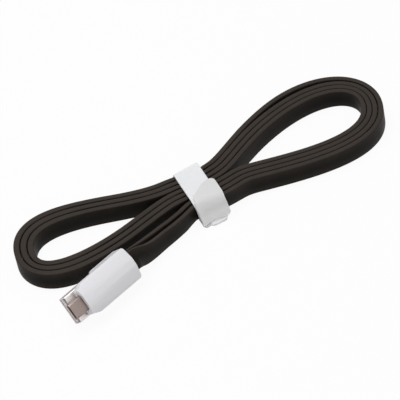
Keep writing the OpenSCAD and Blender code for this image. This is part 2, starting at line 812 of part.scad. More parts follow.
module usb_a_profile(grow) {
    round_rect(
        [-usb_a_shell_w / 2 - grow, -usb_a_shell_h / 2 - grow],
        [usb_a_shell_w / 2 + grow, usb_a_shell_h / 2 + grow], 0.5 + grow
    );
}

module usb_a_mouth() {
    along_plug(3 * wall, usb_a_len - 2 * wall) usb_a_profile(fit_gap);
}

module usb_a_room() {
    room_w = usb_a_shell_w + 0.4;
    translate([wall, -room_w / 2, -usb_a_base + base_wall])
        cube([usb_a_len - 2 * wall, room_w, usb_a_base + usb_a_shell_h / 2 + 0.1 - base_wall]);
}

module usb_a_housing_outer() {
    color(white) at_usb_a() difference() {
        crowned_half(usb_a_len, usb_a_w, usb_a_crown, 3, 3) {
            usb_a_section();
            usb_a_plan();
        }
        usb_a_room();
        cable_slot();
        usb_a_mouth();
    }
}

module usb_a_housing_inner() {
    color(white) at_usb_a() difference() {
        flat_half(usb_a_len, usb_a_w, usb_a_base) usb_a_plan();
        usb_a_room();
        cable_slot();
        usb_a_mouth();
    }
}

// Square windows in both broad sides take the springs of the socket
module usb_a_windows() {
    for (side = [-1, 1])
        translate([usb_a_tip - usb_a_window_back, side * 2.9 - usb_a_window / 2, -usb_a_shell_h])
            cube([usb_a_window, usb_a_window, 2 * usb_a_shell_h]);
}

module usb_a_metal_shell() {
    color(steel) at_usb_a() difference() {
        along_plug(usb_a_tip - usb_a_shell_root, usb_a_shell_root) difference() {
            usb_a_profile(0);
            usb_a_profile(-usb_a_sheet);
        }
        usb_a_windows();
    }
}

module usb_a_insulator() {
    w = usb_a_in_w - 2 * fit_gap - 0.2;
    block_end = usb_a_tip - usb_a_mouth_depth;
    color(white) at_usb_a() difference() {
        union() {
            translate([usb_a_shell_root + 0.1, -w / 2, -usb_a_in_h / 2 + fit_gap + 0.1])
                cube([block_end - usb_a_shell_root, w, usb_a_in_h - 2 * fit_gap - 0.2]);
            translate([block_end - 1, -w / 2, usb_a_tongue_z])
                cube([usb_a_tip - 0.4 - block_end + 1, w, usb_a_tongue_h - 0.1]);
        }
        for (y = usb_a_contact_y)
            translate([usb_a_shell_root - 1, y - usb_a_contact_w / 2 - fit_gap,
                    usb_a_tongue_z - usb_a_contact_t - fit_gap])
                cube([block_end - usb_a_shell_root + 1.2, usb_a_contact_w + 2 * fit_gap,
                    usb_a_contact_t + fit_gap]);
    }
}

module usb_a_contact(number) {
    y = usb_a_contact_y[number - 1];
    start = usb_a_tail_x;
    length = usb_a_tip - (number == 1 || number == 4 ? 1.6 : 2.6) - start;
    color(gold) at_usb_a()
        translate([start, y - usb_a_contact_w / 2, usb_a_tongue_z - usb_a_contact_t - fit_gap / 2])
            cube([length, usb_a_contact_w, usb_a_contact_t]);
}

module usb_a_contact_1() { usb_a_contact(1); }
module usb_a_contact_2() { usb_a_contact(2); }
module usb_a_contact_3() { usb_a_contact(3); }
module usb_a_contact_4() { usb_a_contact(4); }

module usb_a_inner_mould() {
    length = usb_a_len - wall - usb_a_shell_root - 3 * fit_gap;
    room_w = usb_a_shell_w + 0.4 - 2 * fit_gap;
    depth = usb_a_base - base_wall - fit_gap;
    color(natural) at_usb_a() difference() {
        translate([usb_a_shell_root + fit_gap, -room_w / 2, -depth])
            cube([length, room_w, depth + usb_a_shell_h / 2]);
        along_plug(length + 2, usb_a_shell_root - 1) usb_a_profile(fit_gap);
    }
}

module usb_a_wire(place) {
    tail = [
        usb_a_tail_x + 0.3, usb_a_contact_y[place],
        usb_a_tongue_z - usb_a_contact_t - wire_d / 2 - 3 * fit_gap
    ];
    at_usb_a() wire([cable_entry + 2 * fit_gap, wire_y[place], 0], tail);
}

module usb_a_wire_power() { color("red") usb_a_wire(0); }
module usb_a_wire_data_minus() { color(white) usb_a_wire(1); }
module usb_a_wire_data_plus() { color("green") usb_a_wire(2); }
module usb_a_wire_ground() { color("dimgray") usb_a_wire(3); }
module usb_a_cable_crimp() { color(steel) at_usb_a() crimp(); }
module usb_a_magnet() { color(steel) at_usb_a() magnet(usb_a_magnet_x, usb_a_base); }

cable_hank();
micro_lead();
usb_a_lead();
strap_band();
strap_tongue();
strap_loop_patch();
strap_hook_patch();
micro_housing_outer();
micro_housing_inner();
micro_inner_mould();
micro_metal_shell();
micro_insulator();
micro_contact_1();
micro_contact_2();
micro_contact_3();
micro_contact_4();
micro_contact_5();
micro_latch_spring();
micro_cable_crimp();
micro_magnet();
micro_wire_power();
micro_wire_data_minus();
micro_wire_data_plus();
micro_wire_ground();
usb_a_housing_outer();
usb_a_housing_inner();
usb_a_inner_mould();
usb_a_metal_shell();
usb_a_insulator();
usb_a_contact_1();
usb_a_contact_2();
usb_a_contact_3();
usb_a_contact_4();
usb_a_cable_crimp();
usb_a_magnet();
usb_a_wire_power();
usb_a_wire_data_minus();
usb_a_wire_data_plus();
usb_a_wire_ground();
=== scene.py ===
"""Looks of a flat charging cable: the wound hank, its strap and its two plugs."""

import logging
import math
from collections.abc import Callable, Iterable, Sequence
from dataclasses import dataclass
from enum import Enum

import bpy
import numpy as np
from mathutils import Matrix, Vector

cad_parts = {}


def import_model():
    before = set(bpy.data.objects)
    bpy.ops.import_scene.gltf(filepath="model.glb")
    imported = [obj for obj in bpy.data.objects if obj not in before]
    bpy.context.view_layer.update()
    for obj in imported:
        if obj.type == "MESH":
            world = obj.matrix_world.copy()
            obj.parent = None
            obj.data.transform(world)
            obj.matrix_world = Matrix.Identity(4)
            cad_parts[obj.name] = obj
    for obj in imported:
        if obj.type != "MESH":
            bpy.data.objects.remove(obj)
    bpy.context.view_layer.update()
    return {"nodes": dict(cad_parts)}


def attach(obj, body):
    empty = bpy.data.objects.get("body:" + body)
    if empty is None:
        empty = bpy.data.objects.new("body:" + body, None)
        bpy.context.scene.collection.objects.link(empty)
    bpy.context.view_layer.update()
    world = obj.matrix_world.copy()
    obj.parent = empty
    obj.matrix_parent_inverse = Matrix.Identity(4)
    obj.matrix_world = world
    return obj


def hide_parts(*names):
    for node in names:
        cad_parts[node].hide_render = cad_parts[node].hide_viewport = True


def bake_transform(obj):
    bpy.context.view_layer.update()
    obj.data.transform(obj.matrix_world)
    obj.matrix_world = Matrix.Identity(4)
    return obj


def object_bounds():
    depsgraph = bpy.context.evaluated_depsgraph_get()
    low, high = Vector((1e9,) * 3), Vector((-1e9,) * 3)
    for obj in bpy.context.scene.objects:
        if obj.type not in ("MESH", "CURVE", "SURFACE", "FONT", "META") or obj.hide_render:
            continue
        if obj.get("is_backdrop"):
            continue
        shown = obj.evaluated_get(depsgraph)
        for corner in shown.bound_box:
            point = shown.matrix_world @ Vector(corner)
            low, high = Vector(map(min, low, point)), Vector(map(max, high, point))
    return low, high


LOG = logging.getLogger("charging_cable")
MM = 0.001
# how close two points lie that count as one, in metres
SAME_POINT = 1e-6
# degrees: facets of one flat side, edges that are rounded and edges that are shaded sharp
FLAT_ANGLE, ROUND_ANGLE, SHARP_ANGLE = 0.6, 32, 34
# faces across a rounded edge
ROUND_STEPS = 3
Pair = tuple[float, float]
Rows = tuple[tuple[float, ...], ...]
Colour = tuple[float, float, float]


class Body(Enum):
    """The bodies that pieces ride on."""

    CABLE = "wound_cable"
    FREE_END = "strap_free_end"


# ---- Nodes and materials ----


class Graph:
    """One material's node tree, with a Principled shader at its end."""

    def __init__(self, name: str) -> None:
        """Starts the material.

        Args:
            name: The material's name.
        """
        self.material = bpy.data.materials.new(name)
        self.material.use_nodes = True
        self.nodes = self.material.node_tree.nodes
        self.links = self.material.node_tree.links
        self.shader = self.nodes["Principled BSDF"]

    def node(self, kind: str, **values: object) -> bpy.types.Node:
        """Adds a node.

        Args:
            kind: The node's type name, without its ShaderNode prefix.
            **values: Node properties, or inputs where the name isn't a property.

        Returns:
            The new node.
        """
        made = self.nodes.new("ShaderNode" + kind)
        for key, value in values.items():
            if hasattr(made, key):
                setattr(made, key, value)
            else:
                made.inputs[key.replace("_", " ").title()].default_value = value
        return made

    def link(self, source: bpy.types.NodeSocket, target: bpy.types.NodeSocket) -> None:
        """Joins two sockets."""
        self.links.new(source, target)

    def place(self, source: str, scale: Sequence[float], turn: float = 0.0) -> bpy.types.NodeSocket:
        """Gives scaled and turned coordinates.

        Args:
            source: The Texture Coordinate output, Object or UV.
            scale: Repeats per metre along each axis.
            turn: Yaw in degrees that lines a pattern up with a piece.

        Returns:
            The vector socket.
        """
        where = self.node("TexCoord").outputs[source]
        if turn:
            angles = (0, 0, math.radians(turn))
            turned = self.node("Mapping", vector_type="TEXTURE", rotation=angles)
            self.link(where, turned.inputs["Vector"])
            where = turned.outputs["Vector"]
        sized = self.node("Mapping", scale=tuple(scale))
        self.link(where, sized.inputs["Vector"])
        return sized.outputs["Vector"]

    def noise(self, where: bpy.types.NodeSocket, detail: float) -> bpy.types.NodeSocket:
        """Adds a noise of size one.

        Args:
            where: The coordinates that it lies on.
            detail: How many finer layers it has.

        Returns:
            Its value socket.
        """
        made = self.node("TexNoise", scale=1.0, detail=detail)
        self.link(where, made.inputs["Vector"])
        return made.outputs["Fac"]

    def cloud(self, repeats: float, detail: float) -> bpy.types.NodeSocket:
        """Adds a noise that is even all round.

        Args:
            repeats: Its repeats per metre.
            detail: How many finer layers it has.

        Returns:
            Its value socket.
        """
        return self.noise(self.place("Object", (repeats,) * 3), detail)

    def span(self, value: bpy.types.NodeSocket, low: float, high: float) -> bpy.types.NodeSocket:
        """Maps a noise's usual range onto low to high.

        Args:
            value: The noise.
            low: What its lower values become.
            high: What its higher values become.

        Returns:
            The value socket.
        """
        return self.remap(value, 0.3, 0.7, low, high)

    def remap(
        self, value: bpy.types.NodeSocket, start: float, end: float, low: float, high: float
    ) -> bpy.types.NodeSocket:
        """Maps the values from start to end onto low to high.

        Args:
            value: The value.
            start: The value that becomes low.
            end: The value that becomes high.
            low: What it becomes up to the start.
            high: What it becomes from the end.

        Returns:
            The value socket.
        """
        made = self.node("MapRange")
        for index, number in enumerate((start, end, low, high), 1):
            made.inputs[index].default_value = number
        self.link(value, made.inputs[0])
        return made.outputs[0]

    def blend(
        self, share: bpy.types.NodeSocket, first: Colour, second: Colour
    ) -> bpy.types.NodeSocket:
        """Mixes two colours.

        Args:
            share: The second colour's share.
            first: The colour at a share of 0.
            second: The colour at a share of 1.

        Returns:
            The colour socket.
        """
        made = self.node("Mix", data_type="RGBA")
        made.inputs[6].default_value = (*first, 1)
        made.inputs[7].default_value = (*second, 1)
        self.link(share, made.inputs[0])
        return made.outputs[2]

    def combine(
        self, operation: str, first: bpy.types.NodeSocket, second: bpy.types.NodeSocket | float
    ) -> bpy.types.NodeSocket:
        """Works out one value from two.

        Args:
            operation: The Math node's operation.
            first: The first value.
            second: The second value, a socket or a number.

        Returns:
            The value socket.
        """
        made = self.node("Math", operation=operation)
        self.link(first, made.inputs[0])
        if isinstance(second, (int, float)):
            made.inputs[1].default_value = second
        else:
            self.link(second, made.inputs[1])
        return made.outputs[0]

    def bump(self, height: bpy.types.NodeSocket, depth: float, strength: float) -> None:
        """Adds relief to the shader.

        Args:
            height: The relief's value, 0 to 1.
            depth: The relief's depth in metres.
            strength: How strongly it shows.
        """
        made = self.node("Bump", strength=strength, distance=depth)
        before = self.shader.inputs["Normal"].links
        if before:
            self.link(before[0].from_socket, made.inputs["Normal"])
        self.link(height, made.inputs["Height"])
        self.link(made.outputs["Normal"], self.shader.inputs["Normal"])

    def colour(self, socket: bpy.types.NodeSocket) -> None:
        """Sets what the shader's colour comes from."""
        self.link(socket, self.shader.inputs["Base Color"])

    def roughness(self, socket: bpy.types.NodeSocket) -> None:
        """Sets what the shader's roughness comes from."""
        self.link(socket, self.shader.inputs["Roughness"])

    def constant(self, **values: float | Sequence[float]) -> None:
        """Sets the shader's own sockets.

        Args:
            **values: Socket names in small letters with underscores, and their values.
        """
        names = {s.name.lower().replace(" ", "_"): s for s in self.shader.inputs}
        for key, value in values.items():
            names[key].default_value = value


@dataclass(frozen=True)
class CableJacket:
    """Soft black jacket with fine extrusion lines along it and a painted highlight on its thin
    sides.
    """

    # face is the jacket's black on its wide sides; edge is a lighter copy of it, a painted
    # highlight on the thin sides that face up
    face: Colour = (0.0062, 0.0046, 0.0031)
    edge: Colour = (0.043, 0.0355, 0.030)
    # how far the painted highlight and the clouding take the colour from face to edge
    painted_highlight_share: float = 0.85
    cloud_share: float = 0.15
    line_depth: float = 0.03 * MM
    grain_depth: float = 0.012 * MM

    def make(self) -> bpy.types.Material:
        """Builds the material.

        Returns:
            The material.
        """
        g = Graph("cable_jacket")
        lines = g.noise(g.place("UV", (45, 5200, 1)), 4)
        cloud = g.cloud(160, 3)
        grain = g.cloud(4200, 2)
        # painted highlight: this point attribute takes the colour towards edge on the thin sides
        # that face up
        painted_highlight = g.node("Attribute", attribute_name="painted_highlight").outputs["Fac"]
        painted_highlight_tint = g.combine("MULTIPLY", painted_highlight, self.painted_highlight_share)
        painted_highlight_and_tone = g.combine("ADD", painted_highlight_tint, g.span(cloud, 0.0, self.cloud_share))
        g.colour(g.blend(painted_highlight_and_tone, self.face, self.edge))
        g.roughness(g.span(cloud, 0.44, 0.56))
        g.bump(lines, self.line_depth, 0.5)
        g.bump(grain, self.grain_depth, 0.5)
        # the specular is kept low, and the painted edge colour stands in for the highlight
        g.constant(specular_ior_level=0.06)
        return g.material


@dataclass(frozen=True)
class WovenCloth:
    """Pale woven strap cloth with a soft nap."""

    name: str = "strap_cloth"
    pale: Colour = (0.84, 0.85, 0.87)
    shade: Colour = (0.74, 0.75, 0.77)
    pitch: float = 0.42 * MM
    relief: float = 0.05 * MM
    nap_depth: float = 0.05 * MM
    # how far light soaks into the cloth
    soak: float = 1.3 * MM
    # painted light and shade: how much greyer the cloth is painted on top than low on its front,
    # and between which heights
    painted_top_shade: float = 0.0
    painted_shade_from: float = 5.0 * MM
    painted_shade_to: float = 10.5 * MM

    def make(self) -> bpy.types.Material:
        """Builds the material.

        Returns:
            The material.
        """
        g = Graph(self.name)
        # a wave of scale 2 pi has twenty bands for each unit of its coordinates
        across, along = (
            g.node("TexWave", bands_direction=axis, scale=2 * math.pi, distortion=0.4)
            for axis in ("X", "Y")
        )
        where = g.place("UV", (1 / 20 / self.pitch,) * 3)
        for wave in (across, along):
            g.link(where, wave.inputs["Vector"])
        weave = g.combine("MAXIMUM", across.outputs["Fac"], along.outputs["Fac"])
        nap = g.cloud(2600, 5)
        soil = g.cloud(130, 4)
        mixed = g.combine("MULTIPLY", g.span(weave, 0.75, 1.0), g.span(soil, 0.8, 1.0))
        # painted light and shade: the cloth is paler low on its front and greyer towards its top
        if self.painted_top_shade:
            place = g.node("SeparateXYZ")
            g.link(g.node("TexCoord").outputs["Object"], place.inputs[0])
            height = place.outputs["Z"]
            painted_height_shade = g.remap(height, self.painted_shade_from, self.painted_shade_to, 1, 1 - self.painted_top_shade)
            mixed = g.combine("MULTIPLY", mixed, painted_height_shade)
        g.colour(g.blend(mixed, self.shade, self.pale))
        g.roughness(g.span(nap, 0.78, 0.95))
        g.bump(weave, self.relief, 0.6)
        g.bump(nap, self.nap_depth, 0.5)
        g.constant(
            sheen_weight=0.25,
            sheen_roughness=0.5,
            specular_ior_level=0.25,
            subsurface_weight=0.35,
            subsurface_radius=(1, 1, 1),
            subsurface_scale=self.soak,
        )
        return g.material


@dataclass(frozen=True)
class ClosurePile:
    """Hooks or loops of the strap's closure."""

    name: str
    pale: Colour
    shade: Colour
    pitch: float
    relief: float
    fibre_depth: float = 0.04 * MM

    def make(self) -> bpy.types.Material:
        """Builds the material.

        Returns:
            The material.
        """
        g = Graph(self.name)
        cells = g.node("TexVoronoi", scale=1.0)
        g.link(g.place("Object", (1 / self.pitch,) * 3), cells.inputs["Vector"])
        fibre = g.cloud(5000, 4)
        g.colour(g.blend(cells.outputs["Distance"], self.pale, self.shade))
        g.roughness(g.span(fibre, 0.6, 0.9))
        g.bump(cells.outputs["Distance"], self.relief, 0.8)
        g.bump(fibre, self.fibre_depth, 0.5)
        g.constant(sheen_weight=0.2)
        return g.material


@dataclass(frozen=True)
class MouldedPlastic:
    """Injection-moulded plastic with a faint orange-peel surface."""

    name: str
    base: Colour
    drift: Colour
    rough: Pair = (0.27, 0.33)
    peel_depth: float = 0.012 * MM
    grain_depth: float = 0.003 * MM
    coat: float = 0.0

    def make(self) -> bpy.types.Material:
        """Builds the material.

        Returns:
            The material.
        """
        g = Graph(self.name)
        cloud = g.cloud(90, 3)
        peel = g.cloud(900, 2)
        grain = g.cloud(6000, 2)
        g.colour(g.blend(g.span(cloud, 0, 1), self.base, self.drift))
        g.roughness(g.span(peel, *self.rough))
        g.bump(peel, self.peel_depth, 0.1)
        g.bump(grain, self.grain_depth, 0.15)
        g.constant(coat_weight=self.coat, coat_roughness=0.15)
        return g.material


@dataclass(frozen=True)
class PlatedMetal:
    """Stamped or plated metal with fine lines along the plug."""

    name: str
    base: Colour
    drift: Colour
    rough: Pair = (0.24, 0.4)
    # heading of the plugs in degrees, and the lines' repeats per metre along and across them
    turn: float = 202.0
    lines: Sequence[float] = (120, 7000, 7000)
    line_depth: float = 0.006 * MM

    def make(self) -> bpy.types.Material:
        """Builds the material.

        Returns:
            The material.
        """
        g = Graph(self.name)
        brushed = g.noise(g.place("Object", self.lines, self.turn), 4)
        cloud = g.cloud(260, 3)
        g.colour(g.blend(g.span(cloud, 0, 1), self.base, self.drift))
        g.roughness(g.span(brushed, *self.rough))
        g.bump(brushed, self.line_depth, 0.4)
        g.constant(metallic=1.0)
        return g.material


@dataclass(frozen=True)
class WireSheath:
    """Thin coloured insulation of an inner wire."""

    name: str
    base: Colour
    darker: float = 0.8
    relief: float = 0.01 * MM

    def make(self) -> bpy.types.Material:
        """Builds the material.

        Returns:
            The material.
        """
        g = Graph(self.name)
        cloud = g.cloud(700, 3)
        drift = tuple(self.darker * part for part in self.base)
        g.colour(g.blend(g.span(cloud, 0, 1), self.base, drift))
        g.roughness(g.span(cloud, 0.32, 0.48))
        g.bump(cloud, self.relief, 0.3)
        return g.material


# the strap's cloth, the free end's cloth with painted light low on its front and painted shade on
# top, and the two sides of the closure
STRAP_FINISHES = (
    WovenCloth(),
    WovenCloth("strap_free_cloth", (0.99, 0.99, 0.98), (0.66, 0.66, 0.665), painted_top_shade=0.8),
    ClosurePile("loop_pile", (0.8, 0.81, 0.83), (0.6, 0.61, 0.63), 0.5 * MM, 0.1 * MM),
    ClosurePile("hook_strip", (0.74, 0.75, 0.77), (0.5, 0.51, 0.53), 0.8 * MM, 0.15 * MM),
)
# the finishes of the plugs, each after a part of the names of the nodes that take it
PLUG_FINISHES = {
    "_housing_": MouldedPlastic(
        "housing_plastic", (0.80, 0.795, 0.825), (0.785, 0.78, 0.81), coat=0.1
    ),
    "usb_a_metal_shell": PlatedMetal(
        "plug_steel", (0.76, 0.71, 0.70), (0.70, 0.655, 0.645), (0.44, 0.54)
    ),
    "micro_metal_shell": PlatedMetal(
        "small_plug_nickel", (0.305, 0.245, 0.228), (0.27, 0.215, 0.2), (0.3, 0.42)
    ),
    "_contact_": PlatedMetal(
        "gold_contact", (0.83, 0.60, 0.24), (0.74, 0.51, 0.18), (0.18, 0.3)
    ),
    "_crimp": PlatedMetal("crimp_zinc", (0.55, 0.56, 0.57), (0.44, 0.45, 0.47), (0.35, 0.5)),
    "_magnet": PlatedMetal(
        "magnet_plate", (0.66, 0.65, 0.63), (0.60, 0.59, 0.57), (0.1, 0.2), lines=(900, 900, 900)
    ),
    "_inner_mould": MouldedPlastic(
        "inner_mould", (0.69, 0.66, 0.57), (0.62, 0.59, 0.5), (0.4, 0.55)
    ),
    "_insulator": MouldedPlastic(
        "white_insulator", (0.74, 0.74, 0.73), (0.68, 0.68, 0.67), (0.35, 0.5)
    ),
    "_wire_power": WireSheath("red_wire", (0.45, 0.02, 0.015)),
    "_wire_data_minus": WireSheath("white_wire", (0.72, 0.72, 0.7)),
    "_wire_data_plus": WireSheath("green_wire", (0.02, 0.22, 0.05)),
    "_wire_ground": WireSheath("dark_wire", (0.02, 0.02, 0.02)),
}


# ---- Directions and outlines ----


def unit(rows: np.ndarray) -> np.ndarray:
    """Scales each row to a length of one."""
    return rows / np.linalg.norm(rows, axis=1)[:, None]


def travelled(points: np.ndarray) -> np.ndarray:
    """Gives the distance from the first point along the line to each."""
    return np.concatenate([[0], np.cumsum(np.linalg.norm(np.diff(points, axis=0), axis=1))])


def heading(degrees: float) -> np.ndarray:
    """Gives the flat direction at an angle."""
    angle = math.radians(degrees)
    return np.array([math.cos(angle), math.sin(angle)])


def arc(centre: Pair, radius: float, angles: Iterable[float]) -> list[Pair]:
    """Gives the points of an arc.

    Args:
        centre: Its centre.
        radius: Its radius.
        angles: The points' angles in degrees.

    Returns:
        The points.
    """
    turns = [math.radians(angle) for angle in angles]
    return [(centre[0] + radius * math.cos(t), centre[1] + radius * math.sin(t)) for t in turns]


def between(a: Pair, b: Pair, step: float) -> list[Pair]:
    """Gives evenly spaced points strictly between two points.

    Args:
        a: The first point.
        b: The second point.
        step: About how far apart they lie.

    Returns:
        The points.
    """
    count = max(1, round(math.dist(a, b) / step))
    return [
        (a[0] + (b[0] - a[0]) * i / count, a[1] + (b[1] - a[1]) * i / count)
        for i in range(1, count)
    ]


def ramp(value: float, start: float, reach: float) -> float:
    """Gives how far a value is past a start.

    Args:
        value: The value.
        start: Where it is 0.
        reach: How much further on it is 1, or further back if negative.

    Returns:
        The share, 0 to 1.
    """
    return min(1.0, max(0.0, (value - start) / reach))


# ---- Modelling by hand ----


def leave_edit_mode() -> None:
    """Goes back to object mode with nothing selected."""
    if bpy.context.object is not None and bpy.context.object.mode != "OBJECT":
        bpy.ops.object.mode_set(mode="OBJECT")
    bpy.ops.object.select_all(action="DESELECT")


def take_up(piece: bpy.types.Object) -> None:
    """Makes a piece the only selected and the active object."""
    leave_edit_mode()
    piece.select_set(True)
    bpy.context.view_layer.objects.active = piece


def edit(piece: bpy.types.Object) -> None:
    """Opens a piece in edit mode, where points are picked and none is selected."""
    take_up(piece)
    bpy.ops.object.mode_set(mode="EDIT")
    bpy.ops.mesh.select_mode(type="VERT")
    bpy.ops.mesh.select_all(action="DESELECT")


def pick(piece: bpy.types.Object, wanted: Callable[[Vector], bool]) -> None:
    """Selects the points of a piece by their place.

    Args:
        piece: A piece in edit mode.
        wanted: Says whether a point at that place is selected.
    """
    bpy.ops.object.mode_set(mode="OBJECT")
    for vertex in piece.data.vertices:
        vertex.select = wanted(vertex.co)
    bpy.ops.object.mode_set(mode="EDIT")


def apply_all(piece: bpy.types.Object) -> None:
    """Applies a piece's modifiers in their order."""
    take_up(piece)
    for modifier in list(piece.modifiers):
        bpy.ops.object.modifier_apply(modifier=modifier.name)


def smooth(piece: bpy.types.Object, angle: float) -> None:
    """Shades a piece smooth except at its sharp edges.

    Args:
        piece: The piece.
        angle: The angle in degrees from which an edge stays sharp.
    """
    take_up(piece)
    bpy.ops.object.shade_smooth_by_angle(angle=math.radians(angle))
    leave_edit_mode()


def wear(piece: bpy.types.Object, material: bpy.types.Material) -> None:
    """Gives a piece one material in every slot.

    Args:
        piece: A piece or a CAD node.
        material: The material.
    """
    if not piece.material_slots:
        piece.data.materials.append(material)
    for slot in piece.material_slots:
        slot.material = material


def put(piece: bpy.types.Object) -> bpy.types.Object:
    """Puts a new piece in the scene and gives it back."""
    bpy.context.scene.collection.objects.link(piece)
    return piece


def softened(
    node: bpy.types.Object, name: str, width: float, flat: tuple[Vector, Vector] | None
) -> bpy.types.Object:
    """Copies a rigid node and rounds its sharp edges.

    Args:
        node: The node that is copied.
        name: The copy's name.
        width: Width of the rounding in metres.
        flat: A point and the outward normal of a narrow flat that is cut along its ridge.

    Returns:
        The copy, which isn't on a body yet.
    """
    piece = put(bpy.data.objects.new(name, node.data.copy()))
    edit(piece)
    bpy.ops.mesh.select_all(action="SELECT")
    bpy.ops.mesh.remove_doubles(threshold=SAME_POINT)
    bpy.ops.mesh.dissolve_limited(angle_limit=math.radians(FLAT_ANGLE))
    bpy.ops.mesh.normals_make_consistent(inside=False)
    if flat:
        bpy.ops.mesh.bisect(
            plane_co=flat[0],
            plane_no=flat[1],
            use_fill=True,
            clear_outer=True,
            threshold=SAME_POINT / 10,
        )
    rounding = piece.modifiers.new("edges", "BEVEL")
    leave_edit_mode()
    rounding.width = width
    rounding.segments = ROUND_STEPS
    rounding.limit_method = "ANGLE"
    rounding.angle_limit = math.radians(ROUND_ANGLE)
    rounding.use_clamp_overlap = True
    apply_all(piece)
    smooth(piece, SHARP_ANGLE)
    if flat:
        edit(piece)
        pick(piece, lambda co: abs((co - flat[0]).dot(flat[1])) < 2 * SAME_POINT)
        bpy.ops.mesh.select_mode(type="EDGE")
        bpy.ops.mesh.mark_sharp()
        leave_edit_mode()
    return piece


# ---- The flat cable ----


@dataclass(frozen=True)
class Loops:
    """The loops at one end of the hank, with the knots of the innermost one."""

    count: int
    # 1 where the outside lies to the left of the cable's travel, -1 where to the right
    side: int
    # spacing of the strands at the tip, and how far the outermost one lies loose
    pitch: float
    slack: float
    # x, y, heading, reach before and reach after
    knots: Rows


